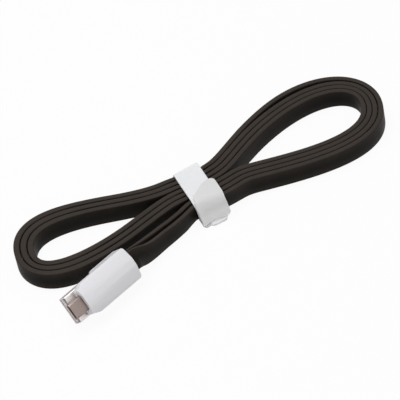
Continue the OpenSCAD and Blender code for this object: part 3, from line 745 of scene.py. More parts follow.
@dataclass
class FlatCable:
    """One flat cable, wound on edge into four right and three left loops."""

    width: float = 8.4
    thickness: float = 1.95
    corner: float = 0.46
    corner_steps: int = 4
    shade_angle: float = 60.0
    # how much of the painted highlight the thin side has, and how far down the wide side it fades
    painted_highlight_side: float = 0.42
    painted_highlight_fade: float = 3.0
    # how much thicker it is out of the strap and at the left tip, and over what reach
    free_extra: float = 0.25
    free_reach: float = 6.0
    tip_extra: float = 0.3
    tip_from: float = 42.0
    tip_reach: float = 22.0
    # spacing of the strands under the strap
    waist_pitch: float = 2.46
    # two powers that say where a loop lies loose and how narrowly
    slack_place: float = 0.65
    slack_power: int = 14
    # where the strap lets go of the cable, how high it holds it and over what reach it settles
    hold_x: float = 6.5
    hold_z: float = 1.0
    settle: float = 26.0
    lean: float = 8.5
    lean_heading: float = 152.0
    # how far a stretch's ends reach, as a share of its chord, and how its points crowd
    bend: float = 0.38
    crowd: float = 1.5
    steps: tuple[int, ...] = (8, 40, 40, 8)
    # how often the bends beside the strap are evened out, up to where and how it fades
    easing: int = 12
    easing_end: float = 36.0
    easing_fade: float = 10.0
    right: Loops = Loops(
        count=4,
        side=1,
        pitch=2.35,
        slack=1.2,
        knots=(
            (6.5, 1.23, 0, 0, 0),
            (22, 6.8, 32, 0, 49.7),
            (86.5, 12.2, -103, 14.6, 25.8),
            (19.5, 1.6, -171, 8.3, 0),
            (6.5, -1.23, -180, 0, 0),
        ),
    )
    left: Loops = Loops(
        count=3,
        side=-1,
        pitch=2.85,
        slack=0.0,
        knots=(
            (-6.5, 3.69, 180, 0, 0),
            (-13.6, 3.3, 188, 0, 11.7),
            (-74.1, 1.3, 249, 21.6, 17.8),
            (-19.8, -1, 381, 37.7, 0),
            (-6.5, 1.23, 360, 0, 0),
        ),
    )
    # where the leads begin, how far on they start to bend, their points' spacing and their rows
    lead_x: float = -2.0
    lead_first: float = 2.0
    lead_step: float = 0.6
    micro_row: int = 7
    usb_a_row: int = 6
    # x, y, height of the middle and lean from upright in degrees
    micro_route: Rows = (
        (-6.2, -9, 5.1, 1),
        (-9.4, -10.4, 4.9, 3),
        (-12.4, -11.9, 4.7, 5),
        (-15.6, -13.3, 4.7, 6),
        (-19.6, -14.9, 4.7, 7),
        (-23.6, -16.4, 4.8, 9),
        (-28, -18.4, 5.2, 11),
        (-32.3, -20.5, 6, 14),
        (-36.2, -22.4, 7.4, 21),
        (-39.3, -23.8, 9, 30),
    )
    usb_a_route: Rows = (
        (-6.2, -6.4, 5.1, 1),
        (-9.4, -7.4, 4.9, 3),
        (-12.6, -8.9, 4.6, 6),
        (-15.8, -10.2, 4.4, 8),
        (-20, -11.8, 4.4, 9),
        (-24.2, -13.2, 4.4, 11),
        (-28.4, -14.8, 4.4, 14),
        (-32.3, -16.4, 4.6, 19),
        (-36.3, -18.2, 5, 27),
        (-39.6, -19.9, 5.7, 37),
    )
    # where the cable goes into the micro-USB plug, and how the other plug lies from it
    plug_place: tuple[float, ...] = (-44.5, -26.2, 10.4)
    plug_yaw: float = 202.0
    plug_roll: float = 43.0
    usb_a_behind: float = 1.25
    plug_pitch: float = 5.3
    # how far a lead runs straight before its plug and inside it
    straight: float = 1.6
    inside: float = 5.0
    # its strands touch, so the cord that is declared is narrower than the mesh
    declared_width: float = 7.4

    def stretch(self, a: Sequence[float], b: Sequence[float], index: int, t: float) -> np.ndarray:
        """Gives a point on one stretch of a loop.

        Args:
            a: The knot before it: x, y, heading, reach before, reach after.
            b: The knot after it.
            index: The stretch's number, 0 to 3.
            t: Share of the stretch.

        Returns:
            The point's x and y.
        """
        start, end = np.array(a[:2]), np.array(b[:2])
        chord = float(np.linalg.norm(end - start))
        out = a[4] if a[4] > 0 else self.bend * chord
        back = b[3] if b[3] > 0 else self.bend * chord
        if index == 1:
            t = 1 - (1 - t) ** self.crowd
        elif index == 2:
            t = t**self.crowd
        guide_a = start + out * heading(a[2])
        guide_b = end - back * heading(b[2])
        return (
            (1 - t) ** 3 * start
            + 3 * (1 - t) ** 2 * t * guide_a
            + 3 * (1 - t) * t**2 * guide_b
            + t**3 * end
        )

    def loop(self, loops: Loops, out: int) -> np.ndarray:
        """Gives one loop of the hank.

        Args:
            loops: The loops that it is one of.
            out: How many of them lie inside it.

        Returns:
            The loop's points, x and y.
        """
        knots = loops.knots
        line = [
            self.stretch(knots[i], knots[i + 1], i, j / count)
            for i, count in enumerate(self.steps)
            for j in range(count)
        ]
        points = np.array([*line, knots[-1][:2]], float)
        for _ in range(self.easing):
            even = (points[:-2] + points[2:]) / 2
            inward = self.easing_end - np.abs(points[1:-1, :1])
            near = np.clip(inward / self.easing_fade, 0, 1)
            points[1:-1] += near / 2 * (even - points[1:-1])
        along = unit(np.diff(points, axis=0))
        first, last = heading(knots[0][2]), heading(knots[-1][2])
        ahead = unit(np.vstack([first, along[1:] + along[:-1], last]))
        gone = travelled(points)
        share = gone / gone[-1]
        wider = (loops.pitch - self.waist_pitch) * np.sin(np.pi * share) ** 2
        width = out * (self.waist_pitch + wider)
        if out == loops.count - 1:
            width += loops.slack * np.sin(np.pi * share**self.slack_place) ** self.slack_power
        normal = np.stack([-ahead[:, 1], ahead[:, 0]], axis=1)
        return points + loops.side * width[:, None] * normal

    def turn(self, row: int, loops: Loops) -> tuple[np.ndarray, int]:
        """Gives the loop that a row goes into, in its direction of travel.

        Args:
            row: The row that the cable comes in on.
            loops: The loops at that end of the hank.

        Returns:
            The loop's points and the row that it comes back on.
        """
        mate = 2 * loops.count - 1 - row
        line = self.loop(loops, loops.count - 1 - min(row, mate))
        return (line if row < mate else line[::-1]), mate

    def row_y(self, row: int) -> float:
        """Gives the place of a row across the strap."""
        return (self.right.count - 0.5 - row) * self.waist_pitch

    def freed(self, places: np.ndarray, reach: float) -> np.ndarray:
        """Gives how far points are out of the strap.

        Args:
            places: The points, with x first.
            reach: How far from it they are quite free.

        Returns:
            The share for each, 0 to 1.
        """
        return np.clip((np.abs(places[:, 0]) - self.hold_x) / reach, 0, 1)

    def hank(self) -> np.ndarray:
        """Gives the foot of the wound cable.

        Returns:
            Its points: x, y and height.
        """
        row, parts = self.micro_row, [np.array([[self.lead_x, self.row_y(self.micro_row)]])]
        for count in range(self.right.count + self.left.count):
            line, row = self.turn(row, self.left if count % 2 else self.right)
            parts.append(line)
        parts.append(np.array([[self.lead_x, self.row_y(row)]]))
        flat = np.vstack(parts)
        share = self.freed(flat, self.settle)
        return np.column_stack([flat, self.hold_z * (1 + np.cos(np.pi * share)) / 2])

    def leaning(self, foot: np.ndarray) -> tuple[np.ndarray, np.ndarray, np.ndarray]:
        """Leans the wound cable, and leaves it upright where the strap holds it.

        Args:
            foot: The wound cable's foot: x, y and height.

        Returns:
            Its middle, the way up the cable, one high, and the way across it, which is level.
        """
        ahead = unit(np.gradient(foot[:, :2], axis=0))
        normal = np.column_stack([-ahead[:, 1], ahead[:, 0]])
        share = self.freed(foot, self.settle)
        towards = normal @ heading(self.lean_heading)
        amount = math.tan(math.radians(self.lean)) * (1 - np.cos(np.pi * share)) / 2 * towards
        up = np.column_stack([amount[:, None] * normal, np.ones(len(foot))])
        side = np.column_stack([normal, np.zeros(len(foot))])
        return foot + self.width / 2 * up, up, side

    def lead(self, row: int, route: Sequence[Sequence[float]], home: np.ndarray) -> np.ndarray:
        """Gives a smooth lead from the strap into its plug.

        Args:
            row: The row that it leaves the strap on.
            route: Its free points.
            home: Where it goes into the plug.

        Returns:
            Its points: x, y, height and lean.
        """
        axis = self.plug_axes()[0]
        lean = 90 - self.plug_roll
        ends = [home - self.straight * axis, home, home + self.inside * axis]
        points = np.array(
            [
                (self.lead_x - self.lead_first, self.row_y(row), self.hold_z + self.width / 2, 0),
                *route,
                *[(*p, lean) for p in ends],
            ]
        )
        points = np.vstack([[self.lead_x, *points[0][1:]], points])
        at = travelled(points[:, :3])
        slope = np.gradient(points, at, axis=0)
        slope[0, 1:] = slope[1, 1:] = 0
        slope[-3:] = np.array([*axis, 0])
        dense = []
        for i, gap in enumerate(np.diff(at)):
            count = max(2, round(gap / self.lead_step))
            for t in np.arange(count) / count:
                h = (2 * t**3 - 3 * t**2 + 1, t**3 - 2 * t**2 + t, 3 * t**2 - 2 * t**3, t**3 - t**2)
                dense.append(
                    h[0] * points[i]
                    + h[1] * gap * slope[i]
                    + h[2] * points[i + 1]
                    + h[3] * gap * slope[i + 1]
                )
        return np.array([*dense, points[-1]])

    def plug_axes(self) -> tuple[np.ndarray, np.ndarray]:
        """Gives how the plugs lie.

        Returns:
            The way they point, and the way out of the micro-USB plug's crowned side.
        """
        ahead, roll = heading(self.plug_yaw), math.radians(self.plug_roll)
        side = np.array([-ahead[1], ahead[0], 0])
        return np.array([*ahead, 0]), math.sin(roll) * side + np.array([0, 0, math.cos(roll)])

    def homes(self) -> tuple[np.ndarray, np.ndarray]:
        """Gives where the cable goes into its plugs.

        Returns:
            The places in the micro-USB and in the USB-A plug.
        """
        axis, outward = self.plug_axes()
        micro = np.array(self.plug_place)
        return micro, micro - self.usb_a_behind * axis - self.plug_pitch * outward

    def relief(self, foot: np.ndarray) -> np.ndarray:
        """Gives how much thicker the wound cable is where the strap doesn't squeeze it.

        Args:
            foot: The wound cable's foot: x, y and height.

        Returns:
            The extra thickness at each point.
        """
        tip = np.clip((-foot[:, 0] - self.tip_from) / self.tip_reach, 0, 1)
        ease = [share**2 * (3 - 2 * share) for share in (self.freed(foot, self.free_reach), tip)]
        return self.free_extra * ease[0] + self.tip_extra * ease[1]

    def middle(self) -> tuple[np.ndarray, np.ndarray, np.ndarray, np.ndarray]:
        """Gives the whole cable's centreline.

        Returns:
            The points in millimetres, and for each the directions of its width and thickness
            and its extra thickness.
        """
        micro_home, usb_a_home = self.homes()
        first = self.lead(self.micro_row, self.micro_route, micro_home)
        second = self.lead(self.usb_a_row, self.usb_a_route, usb_a_home)
        parts, widths, sides = [], [], []
        for line in (first, second):
            ahead = unit(np.gradient(line[:, :3], axis=0))
            side = unit(np.column_stack([-ahead[:, 1], ahead[:, 0], np.zeros(len(line))]))
            up = np.cross(ahead, side)
            lean = np.radians(line[:, 3])[:, None]
            width = np.cos(lean) * up - np.sin(lean) * side
            parts.append(line[:, :3])
            widths.append(width)
            sides.append(np.cross(width, ahead))
        foot = self.hank()
        wound, standing, side = self.leaning(foot)
        points, up, across = (
            np.vstack([before[:0:-1], rows, after[1:]])
            for before, rows, after in (
                (parts[0], wound, parts[1]),
                (widths[0], standing, widths[1]),
                (-sides[0], side, sides[1]),
            )
        )
        extra = np.zeros(len(points))
        extra[len(first) - 1 : 1 - len(second)] = self.relief(foot)
        return points, up, across, extra

    def section(self) -> tuple[np.ndarray, np.ndarray]:
        """Gives the outline across the cable.

        Returns:
            Points across the thickness and the width, and how much painted highlight each takes, 0
            to 1.
        """
        half = np.array([self.thickness / 2, self.width / 2])
        points, painted_highlight = [], []
        for quarter in range(4):
            sign = np.array([1 if quarter in (0, 3) else -1, 1 if quarter < 2 else -1])
            corner, highlight_shares = [], []
            for i in range(self.corner_steps + 1):
                out = heading(90 * (quarter + i / self.corner_steps))
                corner.append(sign * (half - self.corner) + self.corner * out)
                highlight_shares.append(self.painted_highlight_side + (1 - self.painted_highlight_side) * out[1] ** 2)
            # the painted highlight runs out a little way down the side
            end = 0 if quarter % 2 == 0 else len(corner)
            corner.insert(end, sign * (half - [0, self.corner + self.painted_highlight_fade]))
            highlight_shares.insert(end, 0.0)
            points += corner
            painted_highlight += highlight_shares
        return np.array(points), np.array(painted_highlight)

    @staticmethod
    def map_jacket(mesh: bpy.types.Mesh, middle: np.ndarray, outline: np.ndarray) -> None:
        """Maps the jacket flat, along the cable in U and round it in V, in metres.

        Args:
            mesh: The swept mesh, whose end caps come last.
            middle: The centreline.
            outline: The outline across it.
        """
        run = travelled(middle)
        around = travelled(np.vstack([outline, outline[:1]]))
        row, column = np.divmod(np.arange((len(middle) - 1) * len(outline)), len(outline))
        start, end, near, far = run[row], run[row + 1], around[column], around[column + 1]
        along, across = np.stack([start, start, end, end], 1), np.stack([near, far, far, near], 1)
        uv = np.zeros((len(mesh.loops), 2))
        uv[: along.size] = np.column_stack([along.ravel(), across.ravel()])
        mesh.uv_layers.new(name="jacket").data.foreach_set("uv", (uv * MM).ravel())

    def build(self) -> bpy.types.Object:
        """Sweeps the cable's outline along its centreline.

        Returns:
            The cable, with its UV map and the attribute of its painted highlight.
        """
        middle, width, across, extra = self.middle()
        outline, painted_highlight = self.section()
        rings, sides = len(middle), len(outline)
        out = outline[None, :, 0] + np.sign(outline[None, :, 0]) * extra[:, None] / 2
        points = (
            middle[:, None]
            + out[:, :, None] * across[:, None]
            + outline[None, :, 1:] * width[:, None]
        )
        faces = [
            (i * sides + j, i * sides + k, (i + 1) * sides + k, (i + 1) * sides + j)
            for i in range(rings - 1)
            for j, k in ((j, (j + 1) % sides) for j in range(sides))
        ]
        faces.append(tuple(range(sides - 1, -1, -1)))
        faces.append(tuple((rings - 1) * sides + j for j in range(sides)))
        mesh = bpy.data.meshes.new("flat_cable")
        mesh.from_pydata((points.reshape(-1, 3) * MM).tolist(), [], faces)
        self.map_jacket(mesh, middle, outline)
        # painted highlight: its weight at each point, which the jacket's material reads
        shade = mesh.attributes.new("painted_highlight", "FLOAT", "POINT")
        shade.data.foreach_set("value", np.tile(painted_highlight, rings).astype(np.float32))
        piece = put(bpy.data.objects.new("flat_cable", mesh))
        mesh.validate()
        smooth(piece, self.shade_angle)
        return piece

    def dress(self, far_pieces: Sequence[bpy.types.Object]) -> bpy.types.Object:
        """Args:
            far_pieces: The pieces of the USB-A plug on its far end. It is not used.

        Returns:
            The cable.
        """
        piece = self.build()
        wear(piece, CableJacket().make())
        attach(piece, Body.CABLE.value)
        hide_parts("cable_hank", "micro_lead", "usb_a_lead")
        middle = self.middle()[0]
        return piece


# ---- The strap ----


@dataclass
class Strap:
    """Hook-and-loop strap round the hank: a closed band and the free end over it."""

    # the band and the four sides of its inside
    width: float = 12.0
    band: float = 0.9
    front: float = -10.235
    back: float = 9.635
    floor: float = 0.9
    top: float = 9.5
    corner: float = 0.8
    front_corner: float = 1.7
    # the free end, and how far out it and the closure under it lie
    free_width: float = 12.0
    free: float = 0.9
    free_grow: float = 1.55
    free_tip: float = -0.6
    clear: float = 0.05
    # how much thinner than the room for them the lip, the free end and the closure are
    lip_share: float = 0.96
    free_share: float = 0.94
    patch_share: float = 0.9
    # y and x of the free end's two edges as it lies on top
    free_left: tuple[Pair, ...] = (
        (-12.2, -5.9),
        (-9, -5.2),
        (-6.5, -4.5),
        (-4.3, -1.9),
        (-2.6, 0.2),
        (-1.5, 1.8),
        (-0.9, 3.4),
        (-0.6, 4.9),
    )
    free_right: tuple[Pair, ...] = ((-3.5, 7.5), (-1.7, 7.4), (-1, 6.9), (-0.6, 5.9))
    fold: float = 0.8
    # the rolled cloth in the fold, as a share of it, and the angles of its points
    roll: float = 0.42
    roll_angles: tuple[int, ...] = (60, 0, -60, -120, -170)
    # spacing of the points on the band, the lip, the free end's front and its top
    band_step: float = 0.7
    lip_step: float = 0.4
    front_step: float = 0.6
    top_step: float = 0.3
    # how the cloth lies aslant: shift, and shift for each millimetre back and down
    shift: float = -0.13
    turned: float = 0.058
    slant: float = 0.27
    # how far the front stands out for each millimetre down, left and right
    belly: Pair = (0.05, 0.05)
    free_belly: Pair = (0.24, 0.1)
    back_flare: float = 2.0
    # where these set in and over what reach, in y for the first two and in x for the others
    slant_from: Pair = (5, -13)
    flare_from: Pair = (2, 8)
    flare_side: Pair = (-6, 12)
    belly_side: Pair = (-5, 5)
    # unevenness of the cloth: size and height of its ripples
    ripple: Pair = (3.5, 0.09)
    # degrees from which an edge is rounded, and from which it is shaded sharp
    edge_angle: float = 50.0
    shade_angle: float = 70.0
    foot_radius: float = 1.6
    # heights between which the real strap's free end bends as it peels
    peel_bend: Pair = (1, 9)
    # thickness of each side of the closure, and how far inside the free end's edge it stops
    patch: float = 0.25
    patch_margin: float = 0.8
    # length of the lip's strip before it takes its outline
    lip: float = 3.3
    # how soft the lip's edge is, and how high it lifts, from where in x and how far out
    lip_soft: float = 0.42
    lip_lift: float = 0.6
    lift_side: Pair = (-2.6, 1.2)
    lift_out: float = 0.8
    # x of the lip and how far it reaches there
    lip_edge: tuple[Pair, ...] = (
        (-6, 2.0),
        (-5.4, 3.1),
        (-4, 3.2),
        (-2.9, 2.6),
        (-2.3, 3.6),
        (-1.4, 4.2),
        (3.3, 3.7),
        (4.5, 3.3),
        (5.2, 2.3),
        (5.6, 1),
        (6, 0.3),
    )

    def ring(self, grow: float) -> list[Pair]:
        """Gives the closed side view at a distance outside the strap's inside.

        Args:
            grow: That distance.

        Returns:
            Points y and z, from the middle of the floor to the back, over the top and down.
        """
        back, front = self.corner + grow, self.front_corner + grow
        low, high = (self.front - grow, self.floor - grow), (self.back + grow, self.top + grow)
        corners = (
            (high[0] - back, low[1] + back, -90, back),
            (high[0] - back, high[1] - back, 0, back),
            (low[0] + front, high[1] - front, 90, front),
            (low[0] + back, low[1] + back, 180, back),
        )
        points: list[Pair] = [(0.0, low[1])]
        for y, z, start, radius in corners:
            curve = arc((y, z), radius, range(start, start + 91, 15))
            points += between(points[-1], curve[0], self.band_step) + curve
        return points + between(points[-1], points[0], self.band_step)

    def strip(
        self, name: str, line: Sequence[Pair], width: float, closed: bool, columns: int = 14
    ) -> bpy.types.Object:
        """Extrudes a crosswise row of edges along a side view.

        Args:
            name: The piece's name.
            line: Points y and z in millimetres.
            width: Width along the cable in millimetres.
            closed: Whether the last row meets the first.
            columns: Faces across.

        Returns:
            A sheet without thickness, with its UV map in metres.
        """
        leave_edit_mode()
        bpy.ops.mesh.primitive_grid_add(x_subdivisions=columns, y_subdivisions=1, size=1)
        piece = bpy.context.object
        piece.name = piece.data.name = name
        for vertex in piece.data.vertices:
            y, z = line[1] if vertex.co.y > 0 else line[0]
            vertex.co = (vertex.co.x * width * MM, y * MM, z * MM)
        edit(piece)
        y, z = line[1]
        pick(piece, lambda co: math.dist(co[1:], (y * MM, z * MM)) < SAME_POINT / 10)
        rows = [*line[2:], line[0]] if closed else list(line[2:])
        for point in rows:
            move = (0, (point[0] - y) * MM, (point[1] - z) * MM)
            bpy.ops.mesh.extrude_region_move(TRANSFORM_OT_translate={"value": move})
            y, z = point
        bpy.ops.object.mode_set(mode="OBJECT")
        run = np.cumsum([0] + [math.dist(a, b) for a, b in zip(line, [*line[1:], line[0]])]) * MM
        self.map_cloth(piece, columns, run)
        if closed:
            edit(piece)
            bpy.ops.mesh.select_all(action="SELECT")
            bpy.ops.mesh.remove_doubles(threshold=SAME_POINT)
            leave_edit_mode()
        return piece

    @staticmethod
    def map_cloth(piece: bpy.types.Object, columns: int, run: np.ndarray) -> None:
        """Maps a strip flat, across in U and along in V, in metres.

        Args:
            piece: A strip whose rows of points follow each other.
            columns: Faces across.
            run: Distance of each row along the strip.
        """
        mesh = piece.data
        layer = mesh.uv_layers.active or mesh.uv_layers.new(name="cloth")
        count = columns + 1
        order = np.array([loop.vertex_index for loop in mesh.loops])
        across = np.array([v.co.x for v in mesh.vertices])[order]
        along = run[np.minimum(order // count, len(run) - 1)]
        layer.data.foreach_set("uv", np.stack([across, along], 1).ravel())

    def thicken(self, piece: bpy.types.Object, thickness: float, soft: float = 0.3) -> None:
        """Gives a strip its thickness, soft edges and slight unevenness.

        Args:
            piece: The strip.
            thickness: Its thickness in millimetres.
            soft: Width of the rounding along its edges, as a share of the thickness.
        """
        solid = piece.modifiers.new("thickness", "SOLIDIFY")
        solid.thickness = thickness * MM
        solid.offset = 0
        solid.use_even_offset = True
        edges = piece.modifiers.new("edges", "BEVEL")
        edges.width = soft * thickness * MM
        edges.segments = 2
        edges.limit_method = "ANGLE"
        edges.angle_limit = math.radians(self.edge_angle)
        finer = piece.modifiers.new("finer", "SUBSURF")
        finer.levels = finer.render_levels = 1
        uneven = bpy.data.textures.new(piece.name + "_uneven", "CLOUDS")
        uneven.noise_scale = self.ripple[0] * MM
        ripple = piece.modifiers.new("uneven", "DISPLACE")
        ripple.texture = uneven
        ripple.strength = self.ripple[1] * MM
        ripple.mid_level = 0.5
        ripple.texture_coords = "LOCAL"
        apply_all(piece)
        bpy.data.textures.remove(uneven)
        smooth(piece, self.shade_angle)

    def build_band(self) -> bpy.types.Object:
        """Models the closed band.

        Returns:
            The band.
        """
        line = self.ring(self.band / 2)
        piece = self.strip("strap_band_cloth", line, self.width, closed=True)
        self.thicken(piece, self.band)
        return piece

    def build_lip(self) -> bpy.types.Object:
        """Models the lip, which lies out on the floor in front of the strap.

        Returns:
            The lip.
        """
        start = (self.front + self.corner, self.band / 2)
        end = (self.front - self.band - self.lip, self.band / 2)
        line = [start, *between(start, end, self.lip_step), end]
        piece = self.strip("strap_lip_cloth", line, self.width, closed=False, columns=24)
        edge = np.array(self.lip_edge)
        root = self.front - self.band
        for vertex in piece.data.vertices:
            x, y, z = vertex.co / MM
            if y < root:
                reach = float(np.interp(x, edge[:, 0], edge[:, 1]))
                y = root - (root - y) / (root - end[0]) * reach
                z += self.lip_lift * ramp(x, *self.lift_side) * ramp(y, root, -self.lift_out)
            vertex.co = (x * MM, y * MM, z * MM)
        self.thicken(piece, self.lip_share * self.band, self.lip_soft)
        return piece

    def over_front(self, grow: float, foot: float, tip: float) -> list[Pair]:
        """Gives the side view of a layer up the front and over the top.

        Args:
            grow: Distance of its middle from the strap's inside.
            foot: Height at which it starts.
            tip: Where it ends, in y.

        Returns:
            Points y and z from the foot to the tip.
        """
        radius = self.front_corner + grow
        y, z = self.front - grow, self.top + grow
        curve = arc((y + radius, z - radius), radius, range(180, 89, -15))
        start, end = (y, foot), (tip, z)
        up = between(start, curve[0], self.front_step)
        over = between(curve[-1], end, self.top_step)
        return [start, *up, *curve, *over, end]

    def build_free_end(self) -> bpy.types.Object:
        """Models the free end with the fold at its foot and its round tip.

        Returns:
            The free end.
        """
        foot = self.floor + self.clear + self.fold
        line = self.over_front(self.free_grow + self.free / 2, foot, self.free_tip)
        centre = (self.front - self.band - self.clear - self.fold, foot)
        roll = arc(centre, self.roll * self.fold, self.roll_angles)
        piece = self.strip("strap_free_end_cloth", [*roll, *line], self.free_width, closed=False)
        self.cut_out(piece, self.free_width)
        self.thicken(piece, self.free_share * self.free)
        return piece

    def cut_out(self, piece: bpy.types.Object, width: float, inset: float = 0.0) -> None:
        """Gives a layer the outline of the free end, with its round tip.

        Args:
            piece: The layer, as a strip.
            width: The strip's width in millimetres.
            inset: How far the layer's edge lies inside the free end's.
        """
        left, right = np.array(self.free_left), np.array(self.free_right)
        for vertex in piece.data.vertices:
            y = vertex.co.y / MM + inset
            low = float(np.interp(y, left[:, 0], left[:, 1])) + inset
            high = float(np.interp(y, right[:, 0], right[:, 1])) - inset
            foot = (vertex.co.z / MM - self.floor - self.fold) / self.foot_radius
            if 0 <= foot < 1:
                high -= self.foot_radius * (1 - math.sqrt(1 - (1 - foot) ** 2))
            elif foot < 0:
                high -= self.foot_radius
            vertex.co.x = (low + (high - low) * (vertex.co.x / MM / width + 0.5)) * MM

    def drape(self, piece: bpy.types.Object, belly: Pair) -> None:
        """Lays a piece of the strap aslant over the hank, as loose cloth lies.

        Args:
            piece: The piece.
            belly: How far its front stands out for each millimetre down, left and right.
        """
        for vertex in piece.data.vertices:
            x, y, z = vertex.co / MM
            low = max(0.0, self.top + self.band - z)
            front = ramp(y, *self.slant_from)
            front *= front * (3 - 2 * front)
            back = ramp(y, *self.flare_from) ** 2 * ramp(x, *self.flare_side)
            x += self.shift - self.turned * (self.back + self.band - y)
            x += self.slant * low * front
            right = ramp(x, *self.belly_side)
            out = (belly[0] + (belly[1] - belly[0]) * right) * low
            y += self.back_flare * back - (out if y < self.front else 0.0)
            vertex.co = (x * MM, y * MM, z * MM)

    def build_patch(self, name: str, grow: float) -> bpy.types.Object:
        """Models one half of the closure.

        Args:
            name: The piece's name.
            grow: Distance of its middle from the strap's inside.

        Returns:
            The patch.
        """
        foot = self.floor + self.clear + 2 * self.fold + self.patch_margin
        line = self.over_front(grow, foot, self.free_tip - self.patch_margin)
        width = self.free_width - 2 * self.patch_margin
        piece = self.strip(name, line, width, closed=False, columns=10)
        self.cut_out(piece, width, self.patch_margin)
        self.thicken(piece, self.patch_share * self.patch)
        return piece

    def dress(self) -> list[bpy.types.Object]:
        """Builds the strap's pieces, puts the band, lip and loop pile on the cable's body and
        leaves the free end's pieces where they lie.

        Returns:
            The pieces.
        """
        # the free end's cloth carries painted light and shade: paler low down, greyer on top
        cloth, painted_shade_cloth, loop_pile, hook_strip = (finish.make() for finish in STRAP_FINISHES)
        inner = self.band + self.clear + self.patch / 2
        pieces = [
            self.build_band(),
            self.build_lip(),
            self.build_free_end(),
            self.build_patch("strap_loop_pile", inner),
            self.build_patch("strap_hook_strip", inner + self.patch + self.clear),
        ]
        rows = (
            (cloth, Body.CABLE, "strap_band", "strap_cloth"),
            (cloth, Body.CABLE, None, "strap_cloth"),
            (painted_shade_cloth, Body.FREE_END, "strap_tongue", "strap_cloth"),
            (loop_pile, Body.CABLE, "strap_loop_patch", "closure_cloth"),
            (hook_strip, Body.FREE_END, "strap_hook_patch", "closure_cloth"),
        )
        for piece, (material, body, node, slot) in zip(pieces, rows, strict=True):
            self.drape(piece, self.free_belly if body is Body.FREE_END else self.belly)
            wear(piece, material)
            if body is Body.FREE_END:
                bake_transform(piece)
            else:
                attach(piece, body.value)
            if node:
                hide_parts(node)
        return pieces


# ---- The plugs ----


@dataclass
class Plugs:
    """Finishes of both plugs and the rounded copies of what shows of them."""

    nodes: dict[str, bpy.types.Object]
    cable: FlatCable
    housing_edge: float = 0.22 * MM
    shell_edge: float = 0.1 * MM
    # height of the flat along each outer housing's ridge
    micro_flat: float = 3.0 * MM
    usb_a_flat: float = 3.1 * MM

    def ridge(self, micro: bool) -> tuple[Vector, Vector]:
        """Gives where the flat of an outer housing lies.

        Args:
            micro: Whether it is the micro-USB plug's.

        Returns:
            A point on the flat and its outward normal.
        """
        up = Vector(self.cable.plug_axes()[1])
        micro_home, usb_a_home = (Vector(home * MM) for home in self.cable.homes())
        if micro:
            return micro_home + self.micro_flat * up, up
        return usb_a_home - self.usb_a_flat * up, -up

    def rounded(self, node: str, width: float) -> bpy.types.Object:
        """Puts a rounded copy in a node's place.

        Args:
            node: The node's name.
            width: Width of the rounding.

        Returns:
            The copy.
        """
        flat = self.ridge(node.startswith("micro")) if node.endswith("housing_outer") else None
        piece = softened(self.nodes[node], node + "_rounded", width, flat)
        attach(piece, Body.CABLE.value)
        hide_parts(node)
        return piece

    def dress(self) -> dict[str, bpy.types.Object]:
        """Finishes every piece of the plugs.

        Returns:
            The pieces by their nodes' names.
        """
        made = {part: finish.make() for part, finish in PLUG_FINISHES.items()}
        made["micro_latch_spring"] = made["micro_metal_shell"]
        pieces = {}
        for name, node in self.nodes.items():
            if not name.startswith(("micro_", "usb_a_")) or name.endswith("_lead"):
                continue
            piece = node
            if "_housing_" in name:
                piece = self.rounded(name, self.housing_edge)
            elif name.endswith("metal_shell"):
                piece = self.rounded(name, self.shell_edge)
            wear(piece, next(made[part] for part in made if part in name))
            pieces[name] = piece
        return pieces


# ---- Floor, light and camera ----


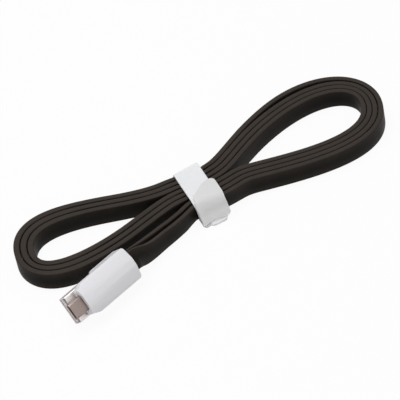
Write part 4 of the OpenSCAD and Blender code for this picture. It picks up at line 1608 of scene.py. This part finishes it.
@dataclass
class Studio:
    """White floor, soft light from above and the camera."""

    aim: Sequence[float] = (3.416 * MM, 4.595 * MM, -4.383 * MM)
    back: Sequence[float] = (-0.3363, -0.6220, 0.7071)
    distance: float = 1.2
    view_width: float = 400 / 2.42 * MM
    sensor: float = 36.0
    clip: Pair = (0.05, 20.0)
    # how bright the sky lights, and the share of the floor's white that it shows by itself
    sky: float = 0.36
    floor_glow: float = 0.93
    floor_size: float = 6.0
    floor_grey: Colour = (0.82, 0.82, 0.82)
    # name, place in metres, side and watts
    lamps: tuple[tuple[str, tuple[float, ...], float, float], ...] = (
        ("key", (-0.22, 0.14, 0.95), 0.7, 7.0),
        ("fill", (0.25, -0.95, 0.5), 0.7, 0.7),
    )

    @staticmethod
    def seen_directly(tree: bpy.types.NodeTree) -> bpy.types.NodeSocket:
        """Tells camera, glossy and transmission rays from the others.

        Args:
            tree: The node tree that asks.

        Returns:
            The value socket, 1 for these rays and 0 for others.
        """
        path = tree.nodes.new("ShaderNodeLightPath")
        total = path.outputs["Is Camera Ray"]
        for name in ("Is Glossy Ray", "Is Transmission Ray"):
            most = tree.nodes.new("ShaderNodeMath")
            most.operation = "MAXIMUM"
            tree.links.new(total, most.inputs[0])
            tree.links.new(path.outputs[name], most.inputs[1])
            total = most.outputs[0]
        return total

    def world(self) -> None:
        """Lights the object evenly and shows white behind it."""
        world = bpy.data.worlds.new("studio")
        world.use_nodes = True
        bpy.context.scene.world = world
        tree = world.node_tree
        background = tree.nodes["Background"]
        background.inputs["Color"].default_value = (1, 1, 1, 1)
        level = tree.nodes.new("ShaderNodeMapRange")
        level.inputs[3].default_value = self.sky
        level.inputs[4].default_value = 1.0
        tree.links.new(self.seen_directly(tree), level.inputs[0])
        tree.links.new(level.outputs[0], background.inputs["Strength"])

    def floor(self) -> None:
        """Lays the floor, which keeps the object's shadow and is otherwise white."""
        leave_edit_mode()
        bpy.ops.mesh.primitive_plane_add(size=self.floor_size)
        floor = bpy.context.object
        floor.name = "studio_floor"
        material = bpy.data.materials.new("studio_floor")
        material.use_nodes = True
        tree = material.node_tree
        plain = tree.nodes["Principled BSDF"]
        plain.inputs["Base Color"].default_value = (*self.floor_grey, 1)
        plain.inputs["Roughness"].default_value = 0.9
        plain.inputs["Specular IOR Level"].default_value = 0.1
        glow = tree.nodes.new("ShaderNodeEmission")
        mix = tree.nodes.new("ShaderNodeMixShader")
        share = tree.nodes.new("ShaderNodeMath")
        share.operation = "MULTIPLY"
        share.inputs[1].default_value = self.floor_glow
        tree.links.new(self.seen_directly(tree), share.inputs[0])
        tree.links.new(share.outputs[0], mix.inputs[0])
        tree.links.new(plain.outputs[0], mix.inputs[1])
        tree.links.new(glow.outputs[0], mix.inputs[2])
        tree.links.new(mix.outputs[0], tree.nodes["Material Output"].inputs["Surface"])
        wear(floor, material)
        floor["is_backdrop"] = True

    def lamp(self, name: str, place: Sequence[float], size: float, watts: float) -> None:
        """Hangs a square soft lamp that faces the object.

        Args:
            name: The lamp's name.
            place: Where it hangs, in metres.
            size: Its side.
            watts: Its power.
        """
        data = bpy.data.lights.new(name, "AREA")
        data.shape = "SQUARE"
        data.size = size
        data.energy = watts
        lamp = put(bpy.data.objects.new(name, data))
        lamp.location = place
        lamp.rotation_mode = "QUATERNION"
        lamp.rotation_quaternion = (-Vector(place)).to_track_quat("-Z", "Y")

    def camera(self) -> None:
        """Places the camera."""
        data = bpy.data.cameras.new("camera")
        data.sensor_width = self.sensor
        data.lens = self.sensor * self.distance / self.view_width
        data.clip_start, data.clip_end = self.clip
        camera = put(bpy.data.objects.new("camera", data))
        back = Vector(self.back).normalized()
        camera.location = Vector(self.aim) + back * self.distance
        camera.rotation_mode = "QUATERNION"
        camera.rotation_quaternion = (-back).to_track_quat("-Z", "Y")
        bpy.context.scene.camera = camera

    def set_up(self) -> None:
        """Makes the camera, the floor and the lights."""
        self.camera()
        self.world()
        self.floor()
        for name, place, size, watts in self.lamps:
            self.lamp(name, place, size, watts)
        bpy.context.scene.view_settings.view_transform = "Standard"


def corners() -> list[list[float]]:
    """Gives the lowest and the highest corner of the shown object."""
    return [list(corner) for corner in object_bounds()]


def main() -> None:
    """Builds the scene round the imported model."""
    logging.basicConfig(level=logging.INFO, format="%(name)s: %(message)s")
    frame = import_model()
    Studio().set_up()
    cable = FlatCable()
    plugs = Plugs(frame["nodes"], cable).dress()
    far_pieces = [piece for name, piece in plugs.items() if name.startswith("usb_a_")]
    for piece in (*plugs.values(), cable.dress(far_pieces), *Strap().dress()):
        LOG.info("%s: %d faces", piece.name, len(piece.data.polygons))
    LOG.info("visual box %s", corners())


if __name__ == "__main__":
    main()
